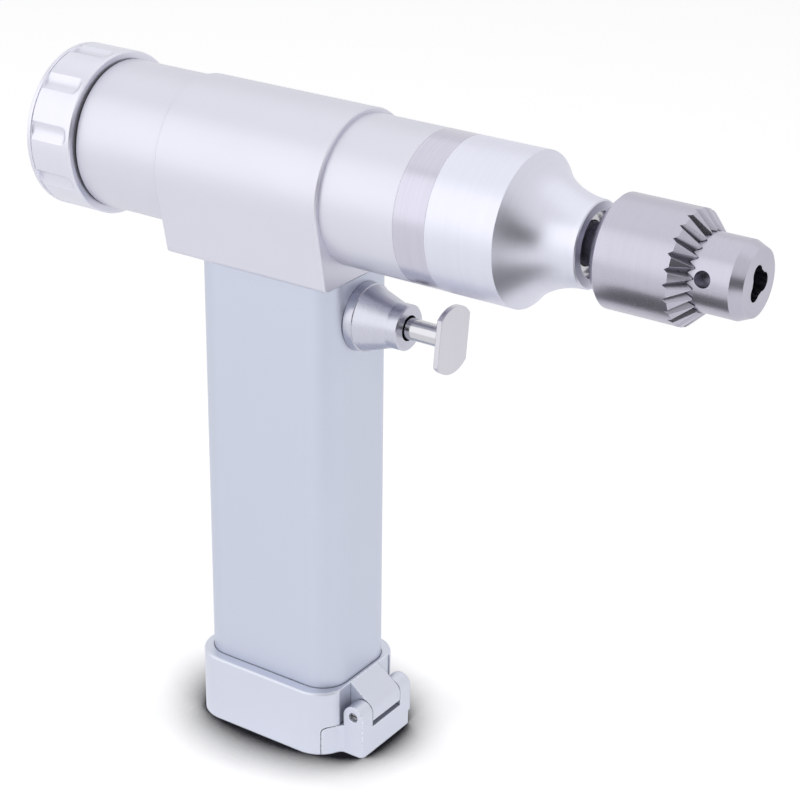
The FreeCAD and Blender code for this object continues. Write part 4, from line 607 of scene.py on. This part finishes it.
def wind_spring(name, node, body, wire):
    """A round wire spring with closed end turns, in a node's place, that rides on a body."""
    low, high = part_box(node)
    middle = (low + high) / 2
    around = Vector((0.0, middle.y, middle.z))
    open_turns = SPRING_TURNS[node] - 2
    closed = wire * 2.2
    steps = 24
    wire_sides = 10
    length = high.x - low.x
    pitch = (length - wire * 2 - closed * 2) / open_turns
    radius = SPRING_RADIUS[node]
    shape = bmesh.new()
    start = Vector((low.x + wire, middle.y, middle.z + radius))
    side_on = Matrix.Translation(start) @ Matrix.Rotation(math.pi / 2, 4, "X")
    bmesh.ops.create_circle(shape, cap_ends=True, segments=wire_sides, radius=wire, matrix=side_on)
    section = list(shape.faces)
    for turns, rise in ((1, closed), (open_turns, pitch), (1, closed)):
        wound = bmesh.ops.spin(shape, geom=section, cent=around, axis=ALONG, dvec=ALONG * (rise / steps),
                               angle=math.tau * turns, steps=steps * turns, use_merge=False,
                               use_duplicate=False)
        section = [part for part in wound["geom_last"] if isinstance(part, bmesh.types.BMFace)]
    open_edges = [line for line in shape.edges if line.is_boundary]
    bmesh.ops.holes_fill(shape, edges=open_edges, sides=12)
    spring = finish_piece(name, shape, body, "spring_steel", replaced=(node,), sharp=60.0)
    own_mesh(spring)


class DRILL_OT_wind_springs(bpy.types.Operator):
    """Wind the trigger's return spring and the catch's spring from round wire"""

    bl_idname = "drill.wind_springs"
    bl_label = "Wind Springs"

    def execute(self, context):
        detail = context.scene.drill_detail
        wind_spring("trigger_coil", "trigger_spring", "frame",
                    detail.trigger_wire)
        wind_spring("catch_coil", "catch_spring", "lid",
                    detail.catch_wire)
        return {"FINISHED"}


class DRILL_OT_set_battery_screws(bpy.types.Operator):
    """Set four slotted screws in the battery's underside"""

    bl_idname = "drill.set_battery_screws"
    bl_label = "Set Battery Screws"

    def execute(self, context):
        detail = context.scene.drill_detail
        radius = detail.screw_radius
        foot = frame_low("battery_case").z
        shape = bmesh.new()
        for side_x in (-1.0, 1.0):
            for side_y in (-1.0, 1.0):
                place = Vector((side_x * detail.screw_reach_x, side_y * detail.screw_reach_y, foot))
                floor = place - UPRIGHT * (detail.screw_height - detail.slot_depth)
                add_rod(shape, place + UPRIGHT * detail.slot_depth, floor, radius, sides=32)
                slanted = (ALONG + ACROSS * side_x * side_y).normalized()
                slot_end(shape, floor, -UPRIGHT, slanted, radius, detail)
        finish_piece("battery_screws", shape, "frame", "zinc_steel")
        return {"FINISHED"}


def solder_main_chip(chips, leads, back, height, side):
    """The square chip with a row of leads on each of its four sides."""
    stand = 0.8 * MILLIMETRE
    thickness = 1.3 * MILLIMETRE
    lead_thickness = 0.3 * MILLIMETRE
    lead_length = 1.2 * MILLIMETRE
    lead_width = 0.32 * MILLIMETRE
    lead_reach = 0.4 * MILLIMETRE
    pins = 11
    add_block(chips, (back - stand, 0.0, height), (thickness, side, side), 0.15 * MILLIMETRE)
    for index in range(pins):
        along = (index - (pins - 1) / 2) * side / (pins + 1)
        for way in (-1.0, 1.0):
            reach = way * (side / 2 + lead_reach)
            add_block(leads, (back - lead_thickness / 2, reach, height + along),
                      (lead_thickness, lead_length, lead_width), 0.05 * MILLIMETRE)
            add_block(leads, (back - lead_thickness / 2, along, height + reach),
                      (lead_thickness, lead_width, lead_length), 0.05 * MILLIMETRE)


def solder_transistors(chips, leads, back):
    """A row of four power transistors, each with a wide tab above and three leads below."""
    spacing = 7.4 * MILLIMETRE
    body_height = BARREL_HEIGHT - 6.5 * MILLIMETRE
    tab_height = BARREL_HEIGHT - 3.3 * MILLIMETRE
    lead_height = BARREL_HEIGHT - 9.6 * MILLIMETRE
    body_size = Vector((1.5, 5.2, 4.6)) * MILLIMETRE
    tab_size = Vector((0.4, 4.4, 2.2)) * MILLIMETRE
    lead_size = Vector((0.4, 0.7, 1.8)) * MILLIMETRE
    lead_spacing = 1.3 * MILLIMETRE
    for index in range(4):
        across = (index - 1.5) * spacing
        add_block(chips, (back - body_size.x / 2, across, body_height), body_size, 0.2 * MILLIMETRE)
        add_block(leads, (back - tab_size.x / 2, across, tab_height), tab_size, 0.08 * MILLIMETRE)
        for way in (-1, 0, 1):
            add_block(leads, (back - lead_size.x / 2, across + way * lead_spacing, lead_height), lead_size,
                      0.08 * MILLIMETRE)


def solder_resistors(chips, leads, back, height):
    """Two columns of small resistors beside the main chip, with a tinned cap on each end."""
    column_reach = 8.6 * MILLIMETRE
    lowest = height - 3.0 * MILLIMETRE
    rise = 1.3 * MILLIMETRE
    body_size = Vector((0.5, 1.3, 0.8)) * MILLIMETRE
    cap_size = Vector((0.52, 0.4, 0.82)) * MILLIMETRE
    cap_reach = 0.85 * MILLIMETRE
    for index in range(6):
        side = -1.0 if index % 2 else 1.0
        place = Vector((back - body_size.x / 2, side * column_reach, lowest + index * rise))
        add_block(chips, place, body_size, 0.06 * MILLIMETRE)
        for way in (-1.0, 1.0):
            add_block(leads, place + ACROSS * way * cap_reach, cap_size, 0.05 * MILLIMETRE)


def set_board_plug(plug, leads, back):
    """The plug for the motor's wires, with three pins."""
    height = BARREL_HEIGHT - 14.5 * MILLIMETRE
    plug_size = Vector((4.4, 10.5, 4.2)) * MILLIMETRE
    pin_back = back - 4.0 * MILLIMETRE
    pin_spacing = 3.0 * MILLIMETRE
    pin_length = 1.6 * MILLIMETRE
    add_block(plug, (back - plug_size.x / 2, 0.0, height), plug_size, 0.3 * MILLIMETRE)
    for index in (-1, 0, 1):
        start = Vector((pin_back, index * pin_spacing, height))
        add_rod(leads, start, start - ALONG * pin_length, 0.55 * MILLIMETRE, sides=16)


class DRILL_OT_fill_control_board(bpy.types.Operator):
    """Solder chips, resistors and a plug to the back of the control board"""

    bl_idname = "drill.fill_control_board"
    bl_label = "Fill Control Board"

    def execute(self, context):
        back = frame_low("control_board").x
        chip_height = BARREL_HEIGHT + 5.0 * MILLIMETRE
        chips = bmesh.new()
        leads = bmesh.new()
        plug = bmesh.new()
        solder_main_chip(chips, leads, back, chip_height, context.scene.drill_detail.chip_side)
        solder_transistors(chips, leads, back)
        solder_resistors(chips, leads, back, chip_height)
        set_board_plug(plug, leads, back)
        finish_piece("board_chips", chips, "frame", "dark_plastic")
        finish_piece("board_leads", leads, "frame", "zinc_steel")
        finish_piece("board_plug", plug, "frame", "natural_plastic")
        return {"FINISHED"}


# Stage

def floor_material(name):
    """White to the camera and in reflections, with a painted contact shadow that darkens the floor near the
    drill for camera rays, and still darkened by the drill's real shadow.
    """
    # Near-black colour of the painted contact shadow.
    painted_contact_shadow = (0.02, 0.02, 0.025, 1.0)
    pale = (0.84, 0.84, 0.85, 1.0)
    glow_level = 0.55
    material = bpy.data.materials.new(name)
    material.use_nodes = True
    tree = material.node_tree
    shader = tree.nodes["Principled BSDF"]
    # Painted contact shadow: where the drill closely hems the floor in, camera rays see it darker and glowing
    # less.
    close = add_node(tree, "ShaderNodeAmbientOcclusion", {"Distance": 0.03}, samples=16)
    painted_shadow_fade = add_node(tree, "ShaderNodeMapRange", {
        "Value": close.outputs["AO"], "From Min": 0.58, "From Max": 0.93, "To Min": 0.0, "To Max": 1.0})
    path = add_node(tree, "ShaderNodeLightPath")
    unseen = calculate(tree, "SUBTRACT", 1.0, path.outputs["Is Camera Ray"])
    outside_painted_shadow = calculate(tree, "MAXIMUM", painted_shadow_fade.outputs[0], unseen)
    tones = mix_colors(tree, outside_painted_shadow, painted_contact_shadow, pale)
    tree.links.new(tones, shader.inputs["Base Color"])
    shader.inputs["Roughness"].default_value = 0.9
    shader.inputs["Specular IOR Level"].default_value = 0.0
    seen = seen_directly(tree)
    shader.inputs["Emission Color"].default_value = (1.0, 1.0, 1.0, 1.0)
    glow = calculate(tree, "MULTIPLY", outside_painted_shadow, glow_level)
    tree.links.new(calculate(tree, "MULTIPLY", seen, glow), shader.inputs["Emission Strength"])
    return material


def seen_directly(tree):
    """1 for rays from the camera and in reflections or glass, and 0 for the light that falls on things."""
    path = add_node(tree, "ShaderNodeLightPath")
    direct = calculate(tree, "MAXIMUM", path.outputs["Is Camera Ray"], path.outputs["Is Glossy Ray"])
    return calculate(tree, "MAXIMUM", direct, path.outputs["Is Transmission Ray"])


def light_world(stage):
    world = bpy.data.worlds.new("White room")
    world.use_nodes = True
    tree = world.node_tree
    back = tree.nodes["Background"]
    back.inputs["Color"].default_value = (1.0, 1.0, 1.0, 1.0)
    seen = seen_directly(tree)
    level = add_node(tree, "ShaderNodeMapRange", {
        "Value": seen, "To Min": stage.room_level, "To Max": 1.0})
    tree.links.new(level.outputs[0], back.inputs["Strength"])
    bpy.context.scene.world = world


def add_soft_light(name, place, target, size, power, reflected=True):
    data = bpy.data.lights.new(name, "AREA")
    data.shape = "RECTANGLE"
    data.size, data.size_y = size
    data.energy = power
    lamp = bpy.data.objects.new(name, data)
    lamp.visible_camera = False
    lamp.visible_glossy = reflected
    lamp.location = place
    lamp.rotation_euler = (Vector(target) - Vector(place)).to_track_quat("-Z", "Y").to_euler()
    bpy.context.scene.collection.objects.link(lamp)
    return lamp


def add_card(name, place, target, size, level):
    """A grey card beside the set, seen only in reflections."""
    mesh = bpy.data.meshes.new(name)
    shape = bmesh.new()
    bmesh.ops.create_grid(shape, x_segments=1, y_segments=1, size=0.5)
    bmesh.ops.scale(shape, vec=(size[0], size[1], 1.0), verts=shape.verts)
    turn = (Vector(target) - Vector(place)).to_track_quat("Z", "Y").to_matrix().to_4x4()
    bmesh.ops.transform(shape, matrix=Matrix.Translation(place) @ turn, verts=shape.verts)
    shape.to_mesh(mesh)
    shape.free()
    card = bpy.data.objects.new(name, mesh)
    bpy.context.scene.collection.objects.link(card)
    material = bpy.data.materials.new(name)
    material.use_nodes = True
    shader = material.node_tree.nodes["Principled BSDF"]
    shader.inputs["Base Color"].default_value = (level, level, level, 1.0)
    shader.inputs["Roughness"].default_value = 1.0
    shader.inputs["Specular IOR Level"].default_value = 0.0
    mesh.materials.append(material)
    card.visible_camera = False
    card.visible_shadow = False
    card.visible_diffuse = False
    return card


def add_camera(stage):
    data = bpy.data.cameras.new("Camera")
    data.lens = stage.lens
    data.sensor_width = 36.0
    camera = bpy.data.objects.new("Camera", data)
    azimuth, elevation, roll = stage.camera_azimuth, stage.camera_elevation, stage.camera_roll
    back = Vector((math.sin(azimuth) * math.cos(elevation), -math.cos(azimuth) * math.cos(elevation),
                   math.sin(elevation)))
    level = Vector((math.cos(azimuth), math.sin(azimuth), 0.0))
    upright = back.cross(level)
    right = level * math.cos(roll) + upright * math.sin(roll)
    up = upright * math.cos(roll) - level * math.sin(roll)
    turn = Matrix((right, up, back)).transposed()
    camera.matrix_world = Matrix.Translation(stage.camera_place) @ turn.to_4x4()
    bpy.context.scene.collection.objects.link(camera)
    bpy.context.scene.camera = camera


class DRILL_OT_build_stage(bpy.types.Operator):
    """Lay the pale floor, hang the soft lights and place the camera"""

    bl_idname = "drill.build_stage"
    bl_label = "Build Stage"

    def execute(self, context):
        stage = context.scene.drill_stage
        mesh = bpy.data.meshes.new("Floor")
        shape = bmesh.new()
        bmesh.ops.create_grid(shape, x_segments=1, y_segments=1, size=stage.floor_size / 2)
        shape.to_mesh(mesh)
        shape.free()
        floor = bpy.data.objects.new("Floor", mesh)
        mesh.materials.append(floor_material("Pale floor"))
        context.scene.collection.objects.link(floor)
        light_world(stage)
        add_soft_light("Key light", place=(-0.6, -1.15, 0.5), target=DRILL_MIDDLE, size=(2.4, 2.0),
                       power=stage.key_power)
        add_soft_light("Fill light", place=(1.15, -0.6, 0.45), target=DRILL_MIDDLE, size=(0.7, 0.7),
                       power=stage.fill_power, reflected=False)
        add_soft_light("Top light", place=(-0.15, 0.25, 1.1), target=(0.02, 0.0, 0.15), size=(1.4, 1.2),
                       power=stage.top_power)
        add_card("Nose card", place=(0.56, -0.40, 0.235), target=(0.088, -0.017, 0.19), size=(0.72, 0.38),
                 level=0.06)
        add_card("Chuck card", place=(0.12, -0.028, 0.148), target=(0.12, -0.028, 1.0), size=(0.05, 0.035),
                 level=0.35)
        add_camera(stage)
        context.scene.view_settings.view_transform = "Standard"
        return {"FINISHED"}


class DRILL_PT_panel(bpy.types.Panel):
    """Settings and steps of the drill"""

    bl_idname = "DRILL_PT_panel"
    bl_label = "Surgical Drill"
    bl_space_type = "VIEW_3D"
    bl_region_type = "UI"
    bl_category = "Surgical Drill"

    def draw(self, context):
        layout = self.layout
        for settings in (context.scene.drill_finish, context.scene.drill_detail, context.scene.drill_stage):
            box = layout.box()
            for name in settings.__annotations__:
                box.prop(settings, name)
        for operator in operators:
            layout.operator(operator.bl_idname)


operators = (
    DRILL_OT_finish_frame,
    DRILL_OT_wind_neck_thread,
    DRILL_OT_slot_hinge_pin,
    DRILL_OT_wind_springs,
    DRILL_OT_set_battery_screws,
    DRILL_OT_fill_control_board,
    DRILL_OT_build_stage,
)
settings_groups = (
    FinishSettings,
    DetailSettings,
    StageSettings,
)


def register():
    for group in settings_groups:
        bpy.utils.register_class(group)
    for operator in operators:
        bpy.utils.register_class(operator)
    bpy.utils.register_class(DRILL_PT_panel)
    bpy.types.Scene.drill_finish = PointerProperty(type=FinishSettings)
    bpy.types.Scene.drill_detail = PointerProperty(type=DetailSettings)
    bpy.types.Scene.drill_stage = PointerProperty(type=StageSettings)


def unregister():
    del bpy.types.Scene.drill_stage
    del bpy.types.Scene.drill_detail
    del bpy.types.Scene.drill_finish
    bpy.utils.unregister_class(DRILL_PT_panel)
    for operator in reversed(operators):
        bpy.utils.unregister_class(operator)
    for group in reversed(settings_groups):
        bpy.utils.unregister_class(group)


def main():
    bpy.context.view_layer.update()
    register()
    for operator in operators:
        family, name = operator.bl_idname.split(".")
        getattr(getattr(bpy.ops, family), name)()


if __name__ == "__main__":
    main()
